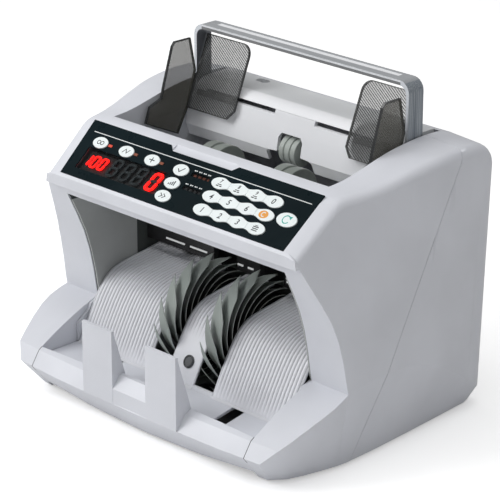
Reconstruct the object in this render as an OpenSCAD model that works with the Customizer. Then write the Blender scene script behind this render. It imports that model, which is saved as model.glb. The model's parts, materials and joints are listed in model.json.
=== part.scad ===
// Desktop banknote counting machine, built as an assembly.
// Units: millimetres. +Z up, -Y is the operator's side (front), +X to the operator's right.
// Origin: on the table, at the bottom centre of the machine's bounding box.

/* [Body] */
// Overall width across the flanks
body_w = 298; // [294:1:302]
// Wall thickness of the moulded covers
wall = 2.6; // [2.2:0.1:2.8]
// Rounding of the upper outer edges
edge_r = 9; // [5:1:9]
// Gap left at the parting line between the front and rear covers
seam = 0.5; // [0.2:0.1:0.8]

/* [Note bay] */
// Number of blades on each stacking wheel
blade_n = 15; // [10:1:16]
// Radius over the blade tips
blade_r = 49; // [46:0.5:49]
// Thickness of a blade
blade_t = 1; // [0.8:0.1:2]
// Spacing of the ribs on the stacking plate
rib_pitch = 3.25; // [3.25:0.25:8]
// Height of the note stops
stop_top = 79; // [70:1:84]

/* [Hopper] */
// Travel of each side guide towards the middle; the guides are drawn at their outer ends
guide_travel = 50; // [40:1:52]
// Radius of the feed rollers
feed_r = 19; // [17:0.5:19]
// Thickness of the clear guide panels
guide_t = 2; // [1.6:0.2:2.2]

/* [Handle] */
// Height of the top of the carrying handle
handle_top = 253.2; // [248:0.1:256]
// Thickness of the handle strip
strip_t = 2.6; // [2.4:0.1:3.4]

/* [Keys] */
// How far the key caps stand above the panel
key_rise = 0.6; // [0.6:0.1:1.6]
// Gap around each key cap
key_gap = 0.3; // [0.2:0.05:0.4]

/* [Hidden] */
$fn = 64;
width_scale = body_w/298;
liner_x = 109;         // inner face of the bay liners
side_x = 111;          // inner walls of the covers beside the bay
recess_x = 108.6;      // half width of the hopper recess
insert_x = 108.4;      // half width of the parts fitted across the bay
rear_y = 124;          // rear face of the machine
panel_box_y = -17.6;   // rear face of the panel box

// axes along X, as [y, z]
stacker_axis = [-3, 56];
feed_axis = [20, 166];
kicker_axis = [63.6, 177.6];
motor_axis = [78, 92];
separator_axis = [48, 153];
handle_axis = [71.6, 200];
rail_axis = [80, 188];
rocker_axis = [rear_y - 1.4, 40];

// radii of the shafts and of the guide rail
shaft_r = 4;
kicker_shaft_r = 3.5;
motor_shaft_r = 3;
rail_r = 3;

// places shared by several pieces
foot_x = 104;
foot_ys = [-66, 100];
rear_screw_x = 100;
rear_screw_zs = [24, 170];
gap_screw_at = [-62, 92];   // [x, y]
inlet_x = [62, 90];
switch_x = [95, 108];
socket_z = [30, 50];        // bottom and top of the inlet and the switch

steel_color = [0.75, 0.76, 0.78];
shell_color = [0.86, 0.87, 0.9];
plate_color = [0.88, 0.89, 0.92];
wheel_color = [0.6, 0.64, 0.62];

// ---------------------------------------------------------------- helpers
// the pieces are drawn about the bay; this centres the bounding box on the origin
module at() { translate([0, -9.55, 0]) children(); }

// Catmull-Rom point between b and c
function curve_point(a, b, c, d, t) =
  0.5*(2*b + (c - a)*t + (2*a - 5*b + 4*c - d)*t*t + (3*b - a - 3*c + d)*t*t*t);
// curve through the points, with the given number of steps between neighbours
function spline(points, steps) =
  let (last = len(points) - 1)
  [for (i = [0:last-1]) for (k = [0:steps-1])
    curve_point(points[max(i-1, 0)], points[i], points[i+1], points[min(i+2, last)], k/steps),
    points[last]];
// minimum of a and b with a soft transition
function soft_min(a, b, softness) = (a + b - sqrt((a-b)*(a-b) + softness*softness))/2;
function oval(size, gap = 0) =
  [for (i = [0:47]) [(size[0] + gap)*cos(360*i/48), (size[1] + gap)*sin(360*i/48)]];

// extrude a [y, z] outline from x0 to x1
module extrude_x(x0, x1) {
  translate([x0, 0, 0]) rotate([90, 0, 90]) linear_extrude(x1 - x0) children();
}
// extrude an [x, z] outline from y0 to y1
module extrude_y(y0, y1) {
  translate([0, y1, 0]) rotate([90, 0, 0]) linear_extrude(y1 - y0) children();
}
// block between two opposite corners
module block(low, high) { translate(low) cube(high - low); }
module both_sides() {
  children();
  mirror([1, 0, 0]) children();
}
module rod_x(axis, radius, x0, x1) {
  translate([x0, axis[0], axis[1]]) rotate([0, 90, 0]) cylinder(r = radius, h = x1 - x0);
}
// panel frame: x across the machine, up the slope, out of the panel
module on_panel(x = 0, up = 0, out = 0) {
  translate([0, -66.9, 165.6]) rotate([39.16, 0, 0]) translate([x, up, out]) children();
}

// ---------------------------------------------------------------- cover shape
// crown of the covers behind the panel, [y, z]
crown_rear = [[-22, 197.7], [-14, 197.9], [-5, 198.5],
  [6, 200.2], [22, 203.8], [40, 207.6], [55, 209.6], [72, 211], [88, 211.2], [99, 210.2],
  [108, 207.6], [115, 203], [120, 197], [123, 190], [rear_y, 183]];
crown = concat([[-69.2, 163.3], [-67.6, 165.1], [-30.5, 195.2], [-28, 196.6]],
  spline(crown_rear, 3));
// hollow front edge of the pillars, [y, z]
pillar_edge = [[-69.2, 162.2], [-63.1, 148.4], [-54.4, 130.5], [-47.8, 115.5], [-42.7, 99],
  [-39.1, 82], [-36.7, 66], [-35.5, 59.9]];
// crease where the flank turns under, [y, z]
crease = [[-36, 60.4], [-19, 63.6], [0, 64.8], [24, 63.4], [49, 56.6], [68, 47.4], [85, 36.8],
  [98.5, 27.2], [112, 17], [rear_y, 13]];
// half width at the bottom, [y, x]
bottom_edge = [[-36, 136], [-28, 137], [0, 136.6], [40, 134.5], [80, 132], [109, 130],
  [117, 127], [122, 120], [rear_y, 113]];
// y of the cross-sections: the pillars, then the body
stations = [-69.1, -66.9, -63.1, -58.6, -54.4, -51, -47.8, -45.2, -42.7, -40.8, -39.1, -37.8,
  -36.7, -36.1, -35.5,
  -35.4, -30.4, -27, -22, -14, -5, 6, 14, 22, 31, 40, 48, 56, 64, 72, 80, 88, 94, 99, 104, 108,
  112, 115, 117.5, 119.5, 121.2, 122.6, rear_y - 0.1];

function crown_z(y) = lookup(y, crown);
function pillar_z(y) = lookup(y, pillar_edge);
function crease_z(y) = lookup(y, crease);
function bottom_x(y) = width_scale*lookup(y, bottom_edge);
// half width of the plan view, rounded at the rear corners
function plan_x(y) = (y < 0 ? 149 - 0.0022*y*y : 149 - 0.00072*y*y)
  - (y > 109 ? 15*(1 - sqrt(max(0, 1 - pow((y - 109)/15.001, 2)))) : 0);
// half width at y and z: the plan, leaning in above a sloping limit
function flank_x(y, z) = width_scale*soft_min(
  plan_x(y) + (max(0, y)*0.00048 - 0.02)*(z - 60), 177.7 + 0.241*y - 0.2131*z, 3);

// right half of the cross-section at y as [x, z], from the bottom up
function half_section(y, inset) =
  let (
    top = crown_z(y) - 1.25*inset,
    radius = min(edge_r, 6 + max(0, (y + 69)*0.08)),
    is_pillar = y < -35.45,
    foot = pillar_z(y - 0.9*inset)
  )
  concat(
    is_pillar
      ? [[flank_x(y, pillar_z(y)) - inset, min(foot + 0.6*inset, top - 0.2)]]
      : [[bottom_x(y) - inset, inset > 0 ? 1 : 2],
         [flank_x(y, crease_z(y)) - inset, crease_z(y)]],
    [for (z = [95, 130, 160])
      if (z > (is_pillar ? foot + 0.8*inset + 1 : 67) && z < top - radius - 4)
        [flank_x(y, z) - inset, z]],
    [for (a = [0:17:85])
      [flank_x(y, top - radius) - inset - radius*(1 - cos(a)),
       top - 2 - radius + radius*sin(a)]],
    [[y < -31 ? 117.5*width_scale : 109, top]]);
function section(y, inset) =
  [for (point = half_section(y, inset)) for (side = [-1, 1]) [side*point[0], y, point[1]]];

// convex solid through a list of points; the faces only serve to use every point
module skin(points) {
  last = len(points) - 1;
  hull() polyhedron(points = points,
    faces = concat([for (i = [0:3:last-2]) [i, i+1, i+2]], [[last-2, last-1, last]]));
}
module loft(inset) {
  // the end stations move inwards with the inset
  ys = [for (y = stations) y < -60 ? y + 1.15*inset : y > rear_y - 3 ? y - inset : y];
  for (i = [0:len(ys)-2]) skin(concat(section(ys[i], inset), section(ys[i+1], inset)));
}

// upper edges of the base in front of the pillars, right half, [x, y, z]
base_rim = [[125, -101.2, 22.3], [85, -104.6, 22.6], [50, -106, 22.8], [0, -107, 23],
  [135, -93, 32.9], [110, -95.2, 33.2], [60, -97.4, 33.5], [0, -98.2, 33.6],
  [138.2, -85.5, 37.1], [142.6, -73, 44.3], [146, -61, 50.4], [147.4, -52, 54.2],
  [147, -42, 57.8], [146.2, -35.4, 59.9]];
// its bottom edge, [x, y]
base_bottom = [[117, -85], [60, -89.5], [0, -92], [125.7, -74.5], [129.8, -62.8],
  [133.7, -46.8], [136, -35.4]];
module base_front(inset) {
  skin(concat(
    [for (p = base_rim) for (side = [-1, 1])
      [side*(p[0]*width_scale - inset*(p[0] > 100 ? 1.1 : 0)),
       p[1] + inset*(p[1] < -90 ? 1.2 : 0),
       p[2] - inset*1.15]],
    [for (p = base_bottom) for (side = [-1, 1])
      [side*(p[0]*width_scale - inset*(p[0] > 100 ? 1 : 0)),
       p[1] + inset*(p[1] < -70 ? 1 : 0),
       inset > 0 ? 1 : 2]]));
}
module body(inset) {
  loft(inset);
  base_front(inset);
}

// parting line of the front and rear covers; it bends at seam_bend_z
seam_bend_z = 64.3;
function seam_y(z) = 1.5 + (z - seam_bend_z)*(z > seam_bend_z ? 0.55 : 0.393);
// space in front of (side = -1) or behind (side = 1) the parting line
module beside_seam(side) {
  gap = side*seam/2;
  extrude_x(-200, 200) polygon([[side*200, -20], [seam_y(0) + gap - 13, -20],
    for (z = [0, seam_bend_z, 240]) [seam_y(z) + gap, z],
    [side*200, 240]]);
}

// ---------------------------------------------------------------- covers
// the bay, the hopper recess and the space below it
module openings() {
  block([-side_x, -130, -1], [side_x, 30, 148.4]);
  block([-recess_x, -20, 100], [recess_x, 98, 240]);
  block([-recess_x, panel_box_y, -1], [recess_x, 98, 180]);
}
module wing_walls() both_sides() block([recess_x, -20, 150.5], [side_x, 98, 240]);
module inner_walls() {
  wing_walls();
  // rear wall and floor of the panel box
  block([-side_x, -20, 148.4], [side_x, panel_box_y, 240]);
  block([-side_x, -66, 148.4], [side_x, panel_box_y, 151]);
  // decks beside the tray
  both_sides() block([side_x, -99, 6], [side_x + 2.2, -30, 62]);
}
// shell on one side of the parting line; its inner walls are the children
module cover_shell(side) intersection() {
  union() {
    difference() {
      body(0);
      body(wall);
      openings();
    }
    intersection() {
      difference() {
        body(0);
        block([-recess_x, panel_box_y, 60], [recess_x, 130, 240]);
      }
      children();
    }
  }
  beside_seam(side);
}
module kicker_and_rail_holes() both_sides() {
  rod_x(kicker_axis, 6.5, 100, 116);
  rod_x(rail_axis, 3.4, 100, 112);
}

module front_housing() color(shell_color) difference() {
  cover_shell(-1) inner_walls();
  // pocket for the panel sheet and opening for the windows behind it
  on_panel(out = -0.62) linear_extrude(20) overlay_shape(0.3);
  on_panel(-105, 2.8, -8) linear_extrude(12) square([216.5, 41.2]);
  // finger relief above the panel
  on_panel(0, 49, 6.6) rotate([0, 90, 0]) cylinder(r = 8, h = 62, center = true);
  // room for the tray
  block([-110.9, -130, -1], [110.9, -35, 33]);
  block([-110.9, -130, -1], [110.9, -92, 60]);
  both_sides() {
    rod_x(stacker_axis, 7, 100, 116);
    rod_x(feed_axis, 7, 100, 116);
    rod_x(handle_axis, 3.6, 100, 113);
  }
  kicker_and_rail_holes();
}

// opening 0.1 clear of a socket spanning the given [left, right]
module socket_cutout(span) {
  block([span[0] - 0.1, 100, socket_z[0] - 0.1], [span[1] + 0.1, 140, socket_z[1] + 0.1]);
}
module rear_cover() color([0.84, 0.85, 0.88]) difference() {
  cover_shell(1) wing_walls();
  // vents
  for (i = [0:11]) block([-66 + i*8, 100, 60], [-62 + i*8, 140, 92]);
  socket_cutout(inlet_x);
  socket_cutout(switch_x);
  kicker_and_rail_holes();
  both_sides() for (z = rear_screw_zs)
    translate([rear_screw_x, 140, z]) rotate([90, 0, 0]) cylinder(r = 2.2, h = 30);
}

module top_cover() color([0.8, 0.81, 0.83]) difference() {
  union() {
    extrude_x(-103.4, 103.4) polygon([[62.6, 205.4], [64.6, 207.6], [67.2, 209.6],
      [70.5, 210.8], [76, 211.2], [97.7, 211.2], [97.7, 208.6], [71, 208.4], [68.4, 207.2],
      [66, 205.4]]);
    // guide tube of the gap screw
    translate(concat(gap_screw_at, 190)) cylinder(r = 5, h = 19);
  }
  translate(concat(gap_screw_at, 180)) cylinder(r = 2.05, h = 40);
  translate(concat(gap_screw_at, 203.9)) cylinder(r = 3.3, h = 10);
  // oblong access hole over the gap screw
  for (dx = [-2.5, 2.5])
    translate([gap_screw_at[0] + dx, gap_screw_at[1], 208]) cylinder(r = 3.6, h = 20);
}

// sloping plate the stack leans on, [y, z]: front face upwards, rear face downwards
hopper_front = [[59, 166.4], [57.3, 170.6], [55.2, 176], [56.4, 183], [58.6, 192],
  [61.9, 203.2], [62.6, 205.1]];
hopper_back = [[66, 205.1], [64.9, 202], [61.6, 191.6], [59.4, 182.6], [58.3, 176.4],
  [60, 171.8], [61.8, 167.4]];
// window for the kicker roller, [x, z]
roller_window = [[-23, 160], [-23, 174], [-20, 176], [-12, 176.6], [-12, 187], [-9.5, 190.5],
  [9.5, 190.5], [12, 187], [12, 176.6], [20, 176], [23, 174], [23, 160]];
module hopper_plate() color([0.87, 0.88, 0.91]) difference() {
  union() {
    extrude_x(-108.2, 108.2) polygon(concat(hopper_front, hopper_back));
    // brackets that hang the plate from the side walls
    both_sides() block([104, 58.5, 186], [108.2, 63.8, 198]);
  }
  // guide slots
  both_sides() block([20, 50, 201.4], [92.6, 80, 207]);
  // room for the handle legs
  both_sides() block([103.6, 60, 199], [109, 70, 210]);
  extrude_y(40, 80) polygon(roller_window);
}

// ---------------------------------------------------------------- note bay
module note_tray() color(shell_color) difference() {
  intersection() {
    base_front(0);
    block([-110.6, -130, 0], [110.6, -50, 60]);
  }
  // hollow underside
  intersection() {
    base_front(2.4);
    block([-insert_x, -130, 0], [insert_x, -40, 26.6]);
  }
  block([-insert_x, -90, 0], [insert_x, -40, 26.6]);
  // recess for the counted notes
  block([-110.7, -92, 29], [110.7, -40, 70]);
  // sensor slots in the tray floor
  both_sides() translate([62, -69, 20]) linear_extrude(20)
    polygon([[-6, 13], [-1, -14], [11, -14], [6, 13]]);
  block([-insert_x, -54.6, 0], [insert_x, -40, 40]);
  // clear of the base pan
  block([-120, -82.6, -1], [120, 0, 4.8]);
}

// one note stop: an upright plate with a sloping rib behind each side edge
stop_x = [17.3, 48.5];
stop_rib_t = 2.4;
module stop_post() {
  extrude_x(stop_x[0], stop_x[1])
    polygon([[-106.6, 22], [-106.6, stop_top], [-104.2, stop_top], [-103.4, 22]]);
  for (x = [stop_x[0], stop_x[1] - stop_rib_t]) extrude_x(x, x + stop_rib_t)
    polygon([[-106.6, 22], [-106.6, stop_top], [-105, stop_top], [-91, 34], [-91, 30]]);
}
module note_stops() color(plate_color) difference() {
  union() {
    both_sides() stop_post();
    // low hollow bridge between the stops
    extrude_x(-17.4, 17.4)
      polygon([[-106.4, 22], [-106.4, 35], [-99.4, 44], [-96, 44], [-92.2, 30]]);
  }
  base_front(0);
  extrude_x(-15.4, 15.4)
    polygon([[-104.4, 20], [-104.4, 34.2], [-99, 41.4], [-97, 41.4], [-94, 20]]);
  block([-120, -200, 0], [120, -80, 22.9]);
}

// rounded corners of the base pan, right half, [x, y]
pan_corners = [[114, -80], [122, -70], [129, -45], [131.4, -20], [129.4, 40], [127, 80],
  [124, 108], [114, 116]];
module base_pan() color([0.55, 0.56, 0.58]) difference() {
  hull() both_sides() for (corner = pan_corners)
    translate([corner[0], corner[1], 2.4]) cylinder(r = 2, h = 2.2, $fn = 24);
  // slots
  for (x = [-60:12:60]) block([x - 2, 20, 0], [x + 2, 60, 10]);
  both_sides() for (y = foot_ys) translate([foot_x, y, 0]) cylinder(r = 2.1, h = 10);
}

module feet() color([0.12, 0.12, 0.13]) both_sides() for (y = foot_ys) {
  translate([foot_x, y, 0]) cylinder(r = 8, h = 2.35);
  translate([foot_x, y, 2.3]) cylinder(r = 2, h = 3.8);
}

module bay_liner() color([0.62, 0.63, 0.65]) both_sides() difference() {
  union() {
    // front sheet along the pillar's edge, with a rounded upper rear corner
    extrude_x(liner_x, liner_x + 1.8) polygon(concat(
      [for (i = [1:len(pillar_edge)-1]) if (pillar_edge[i][1] < 140)
        [pillar_edge[i][0] + 0.6, pillar_edge[i][1]]],
      [[-57.7, 44], [-57.7, 30], [4, 30]],
      [for (a = [0:15:90]) [-4 + 8*cos(a), 135.2 + 8*sin(a)]],
      [[-60, 143.2]]));
    // set-back sheet behind it
    extrude_x(liner_x + 1.2, liner_x + 1.9)
      polygon([[-58, 142], [-62.2, 148], [28, 148], [28, 30], [2, 30], [2, 142]]);
  }
  rod_x(stacker_axis, 7, 100, 116);
}

// light-bar holder of the bay, open where the stacking wheels turn, [x0, x1]
holder_spans = [[-insert_x, -36], [-12, 12], [36, insert_x]];
holder_notches = [[-89, -67], [-63, -43], [-12.6, -5], [-2, 5.5], [37.5, 44.5], [50, 72],
  [80, 96]];
module inner_shroud() color([0.07, 0.07, 0.08]) {
  extrude_x(-insert_x, insert_x)
    polygon([[50, 30], [50, 134], [46, 139], [47.6, 140.4], [52, 135], [52, 30]]);
  block([-insert_x, -17, 140], [insert_x, -5, 142]);
  block([-insert_x, -17, 142], [insert_x, -15, 170]);
  difference() {
    for (span = holder_spans) {
      middle = (span[0] + span[1])/2;
      block([span[0], 14, 94], [span[1], 19, 106]);
      block([middle - 5, 18, 96], [middle + 5, 50.5, 99]);
    }
    for (notch = holder_notches) block([notch[0], 13, 97], [notch[1], 15, 100]);
  }
}

// upper face of the stacking plate, [y, z], rising rearwards
plate_line = spline([[-57.6, 29.2], [-53, 38], [-48, 47.4], [-43, 56], [-37.4, 65],
  [-31.5, 72.4], [-23.5, 78.3], [-14, 81.3], [-3, 83], [10, 84.6], [26, 87]], 2);
// the line moved square to itself; positive depths go below it
function plate_offset(depth) =
  let (last = len(plate_line) - 1)
  [for (i = [0:last])
    let (step = plate_line[min(i+1, last)] - plate_line[max(i-1, 0)], along = step/norm(step))
    plate_line[i] + depth*[along[1], -along[0]]];
function plate_band(upper, lower) =
  let (back = plate_offset(lower))
  concat(plate_offset(upper), [for (i = [len(back)-1:-1:0]) back[i]]);
module on_sensor_hole() translate([2.6, -49.4, 44.6]) rotate([62, 0, 0]) children();
module stacker_plate() color(plate_color) difference() {
  union() {
    extrude_x(-recess_x, recess_x) polygon(plate_band(0, 2.2));
    // ribs
    both_sides() for (x = [36.8:rib_pitch:107])
      extrude_x(x - 0.8, x + 0.8) polygon(plate_band(-0.5, 0.6));
  }
  // slots for the stacking wheels
  both_sides() block([14, -80, 31.6], [34, 40, 100]);
  block([-110, -80, 10], [110, -40, 29.05]);
  on_sensor_hole() cylinder(r = 5.1, h = 20, center = true);
}

module sensor_lens() color([0.15, 0.16, 0.18]) on_sensor_hole() difference() {
  translate([0, 0, -2.6]) cylinder(r = 4.95, h = 3.5);
  translate([0, 0, 0.5]) cylinder(r = 3.6, h = 2);
}

// ---------------------------------------------------------------- frames and bearings
bush_r = 8;
frame_outline = [[-24, 4.7], [-24, 100], [-12, 184], [58, 190], [65, 206], [78, 206],
  [86, 192], [100, 184], [104, 4.7]];
module side_frames() color([0.72, 0.73, 0.75]) {
  // rail the guide carriages ride on, fixed between the frames
  rod_x(rail_axis, rail_r, -115.6, 115.6);
  both_sides() difference() {
    extrude_x(112, 114) polygon(frame_outline);
    for (axis = [stacker_axis, feed_axis, kicker_axis]) rod_x(axis, bush_r + 0.05, 110, 116);
    rod_x(handle_axis, 4.25, 110, 116);
    rod_x(motor_axis, 4, 110, 116);
    // openings in the sheet
    extrude_x(110, 116) polygon([[10, 100], [10, 140], [44, 140], [44, 120], [30, 100]]);
    extrude_x(110, 116) polygon([[60, 20], [60, 60], [90, 60], [90, 20]]);
  }
}
// flanged bush around a shaft
module bush(axis, shaft_radius) difference() {
  union() {
    rod_x(axis, bush_r, 111.2, 115.4);
    rod_x(axis, bush_r + 2, 114.1, 115.4);
  }
  rod_x(axis, shaft_radius + 0.04, 110, 118);
}
module bearings() color([0.75, 0.6, 0.35]) both_sides() {
  bush(stacker_axis, shaft_r);
  bush(feed_axis, shaft_r);
  bush(kicker_axis, kicker_shaft_r);
  difference() {
    rod_x(handle_axis, 4.2, 111.2, 115.4);
    rod_x(handle_axis, 3.04, 110, 118);
  }
}

// ---------------------------------------------------------------- panel
// places on the panel are [x, up the slope]
key_pitch = [17.3, 11.7];
key_columns = [for (i = [0:3]) 28.9 + i*key_pitch[0]];
key_rows = [for (i = [0:2]) 8.6 + i*key_pitch[1]];
key_half_height = 4.75;
oval_key_size = [7.35, key_half_height];   // half axes
oval_keys = [[-96, key_rows[2]], [-68.3, key_rows[2]], [-41.1, key_rows[2]],
  [-11.1, key_rows[2]], [-11.1, key_rows[1]], [-11.1, key_rows[0]]];
restart_key_size = [9, 5.6];
restart_key_at = [100.2, 22.2];
// windows: [x, up, width, height]; the first is the display's
windows = [[-62, 16.9, 83, 18.6], [8.6, key_rows[2], 17.6, 3], [8.6, key_rows[1], 17.6, 3]];

// sheet of the panel, notched in the middle of its upper edge, enlarged by a gap
module overlay_shape(gap = 0) difference() {
  polygon([[-113.3 - gap, -gap], [113.3 + gap, -gap],
    [116.2 + gap, 48.4 + gap], [-116.2 - gap, 48.4 + gap]]);
  polygon([[-34.5 + gap, 60], [-34.5 + gap, 48.4 + gap], [-30 + gap, 44 + gap],
    [30 - gap, 44 + gap], [34.5 - gap, 48.4 + gap], [34.5 - gap, 60]]);
}

// upper right quarter of a key in a scalloped row: rounded at the row's end, else waisted
function key_quarter(is_end, gap) = is_end
  ? [for (a = [0:10:90]) [(8.5 + gap)*sin(a), (key_half_height + gap)*cos(a)]]
  : [for (i = [0:7])
      let (x = (gap > 0 ? 8.72 : 8.55)*i/7)
      [x, 3.8 + 0.95*cos(min(180, 180*x/(key_pitch[0]/2))) + gap]];
function key_side(is_end, gap) =
  let (quarter = key_quarter(is_end, gap), start = len(quarter) - (is_end ? 2 : 1))
  concat(quarter, [for (i = [start:-1:0]) [quarter[i][0], -quarter[i][1]]]);
// outline of the key in a column; the first and last columns end the row
function key_outline(column, gap = 0) =
  let (left = key_side(column == 0, gap))
  concat(key_side(column == 3, gap),
    [for (i = [len(left)-2:-1:1]) [-left[i][0], left[i][1]]]);

module panel_hole(x, up) on_panel(x, up, -3) linear_extrude(8) children();
module key_holes() {
  for (up = key_rows) for (column = [0:3])
    panel_hole(key_columns[column], up) polygon(key_outline(column, key_gap));
  panel_hole(restart_key_at[0], restart_key_at[1]) polygon(oval(restart_key_size, key_gap));
  for (place = oval_keys)
    panel_hole(place[0], place[1]) polygon(oval(oval_key_size, key_gap));
}
module panel_overlay() color([0.06, 0.09, 0.1]) difference() {
  on_panel(out = -0.6) linear_extrude(0.9) overlay_shape();
  key_holes();
  for (w = windows) panel_hole(w[0], w[1]) square([w[2] + 0.4, w[3] + 0.4], center = true);
}
module display_window() color([0.12, 0.02, 0.02, 0.6]) {
  for (w = windows)
    on_panel(w[0], w[1], -0.9) linear_extrude(1) square([w[2], w[3]], center = true);
}

// slanted seven-segment digit: 0 is the top bar, then clockwise to 5; 6 is the middle bar
bar_w = 1.5;
digit_zero = [0:5];
module digit(x, up, width, height, lit) {
  // [x, y, is upright] of each bar
  bars = [[0, height/2, false], [width/2, height/4, true], [width/2, -height/4, true],
    [0, -height/2, false], [-width/2, -height/4, true], [-width/2, height/4, true],
    [0, 0, false]];
  on_panel(x, up, -2.3) linear_extrude(1) for (i = lit)
    translate([bars[i][0] + bars[i][1]*0.12, bars[i][1]])
      square(bars[i][2] ? [bar_w, height/2 - bar_w - 0.4] : [width - bar_w - 0.4, bar_w],
        center = true);
}
module digits_lit() color([0.95, 0.1, 0.05]) {
  digit(-98, 17, 5.3, 10.8, [1, 2]);
  for (x = [-91, -83]) digit(x, 17, 5.3, 10.8, digit_zero);
  digit(-28.9, 17.3, 10, 16.2, digit_zero);
}
module status_lamps() color([0.9, 0.25, 0.05]) {
  for (x = [-85.5, -58.3, -31.2])
    on_panel(x, key_rows[2], 0.32) linear_extrude(0.5) square([3.6, 2], center = true);
  for (x = [1.8, 6.3, 10.8, 15.3]) for (row = [2, 1])
    on_panel(x, key_rows[row], -2.3) linear_extrude(1) square([2.6, 1.8], center = true);
}
module control_board() color([0.1, 0.32, 0.18]) {
  difference() {
    on_panel(-104, 3, -11) linear_extrude(1.6) square([208, 38]);
    for (x = [-99, 99]) for (up = [7, 37])
      on_panel(x, up, -12) linear_extrude(4) circle(r = 1.6);
  }
  // display block, then the parts under the board
  on_panel(windows[0][0], windows[0][1], -9.4) linear_extrude(6.4)
    square([80, 16.4], center = true);
  on_panel(40, 20, -14) linear_extrude(3) square([14, 14], center = true);
  for (x = [-30, -20, 70])
    on_panel(x, 30, -13.4) linear_extrude(2.4) square([6, 8], center = true);
}

// ---------------------------------------------------------------- keys
// cap with the child's outline, on a stem
module key(place, stem_w) {
  on_panel(place[0], place[1], -2.4) linear_extrude(key_rise + 2.7) children();
  on_panel(place[0], place[1], -6.6) linear_extrude(4.3) square([stem_w, 4], center = true);
}
module pad_key(column, row) color([0.9, 0.95, 0.95])
  key([key_columns[column], key_rows[row]], 6) polygon(key_outline(column));
module oval_key(i) color([0.9, 0.95, 0.95]) key(oval_keys[i], 5) polygon(oval(oval_key_size));
module key_restart() color([0.85, 0.95, 0.95])
  key(restart_key_at, 5) polygon(oval(restart_key_size));

// ---------------------------------------------------------------- electrics
module main_board() color([0.1, 0.3, 0.18]) {
  block([-96, 54, 12], [40, 110, 13.6]);
  block([-80, 60, 13.6], [-56, 84, 17]);
  for (x = [-40, -24, -8]) translate([x, 72, 13.6]) cylinder(r = 5, h = 16);
  block([10, 62, 13.6], [34, 74, 22]);
  // standoffs
  for (x = [-92, 36]) for (y = [58, 106]) translate([x, y, 4.7]) cylinder(r = 2.4, h = 7.3);
}
module power_supply() color([0.6, 0.61, 0.63]) difference() {
  union() {
    block([48, 56, 54], [106, 112, 92]);
    // legs
    for (x = [52, 102]) for (y = [60, 88]) translate([x, y, 4.7]) cylinder(r = 3, h = 50);
  }
  // grooves in the front face
  for (i = [0:6]) block([54 + i*7, 50, 62], [57.5 + i*7, 58, 86]);
}
// open-backed box around the power rocker
module switch_frame() {
  left = switch_x[0];
  right = switch_x[1];
  bottom = socket_z[0];
  top = socket_z[1];
  back = rear_y + 1.6;
  block([left, 108, bottom], [left + 2, back, top]);
  block([right - 2, 108, bottom], [right, back, top]);
  block([left, 108, bottom], [right, 110, top]);
  block([left, 108, bottom], [right, back, bottom + 1.8]);
  block([left, 108, top - 1.8], [right, back, top]);
}
module power_inlet() color([0.08, 0.08, 0.08]) difference() {
  union() {
    block([inlet_x[0], 104, socket_z[0]], [inlet_x[1], rear_y + 0.2, socket_z[1]]);
    // flange on the rear face
    block([inlet_x[0] - 3, rear_y + 0.1, socket_z[0] - 3],
      [inlet_x[1] + 3, rear_y + 2.1, socket_z[1] + 3]);
    switch_frame();
  }
  block([inlet_x[0] + 3, rear_y - 12, socket_z[0] + 4],
    [inlet_x[1] - 3, rear_y + 8, socket_z[1] - 4]);
}
module rear_screws() color([0.7, 0.7, 0.72]) both_sides() for (z = rear_screw_zs) {
  translate([rear_screw_x, rear_y + 1.4, z]) rotate([90, 0, 0]) difference() {
    cylinder(r = 3.4, h = 1.35);
    translate([-3, -0.4, -1]) cube([6, 0.8, 1.6]);
  }
  translate([rear_screw_x, rear_y + 0.1, z]) rotate([90, 0, 0]) cylinder(r = 2, h = 7);
}
module power_rocker() color([0.15, 0.15, 0.16]) {
  extrude_x(97.3, 105.7) translate(rocker_axis)
    polygon([[-3, -6], [3, -7], [3.4, -6.9], [2.6, 0], [1.4, 7.2], [-3, 6]]);
  rod_x(rocker_axis, 1.2, 97.05, 105.95);
}

// ---------------------------------------------------------------- guides, handle, screw
// frame of the guides' leaning back plates
module on_guide_back() translate([0, 54.7, 195.5]) rotate([-22.1, 0, 0]) children();
// side plate of a guide, [y, z]
guide_side = [[41.3, 243.4], [57.6, 243.2], [62.9, 217], [54.5, 189.8], [43.7, 170.4],
  [10.5, 186], [15, 198.3], [27, 202.4], [29, 210], [38.6, 240.4]];
module guide() {
  // back plate, with a rounded upper inner corner
  on_guide_back() extrude_y(0, guide_t) polygon(concat(
    [[56.5, 1], [62.5, -6.2], [104.6, -6.2], [104.6, 20], [103.4, 24], [103.4, 52]],
    [for (a = [0:15:90]) [65.5 - 9*sin(a), 43 + 9*cos(a)]]));
  extrude_x(106.4 - guide_t, 106.4) polygon(guide_side);
}
module guide_left() color([0.5, 0.5, 0.5, 0.5]) mirror([1, 0, 0]) guide();
module guide_right() color([0.5, 0.5, 0.5, 0.5]) guide();

module carriage() difference() {
  union() {
    // strip behind the guide's back plate
    on_guide_back() block([60, guide_t + 0.02, 5.4], [100, guide_t + 1.3, 9.8]);
    // arm through the slot, leg and the block on the rail
    block([85, 60.7, 202.2], [91, 78, 204.4]);
    block([82, 75, 184], [94, 78, 204.4]);
    block([80, 75, 183], [96, 85, 193]);
  }
  rod_x(rail_axis, rail_r + 0.05, 70, 100);
}
module carriage_left() color([0.2, 0.2, 0.2]) mirror([1, 0, 0]) carriage();
module carriage_right() color([0.2, 0.2, 0.2]) carriage();

handle_x = 107.6;   // half width over the handle
handle_inner_x = handle_x - strip_t;
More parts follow.
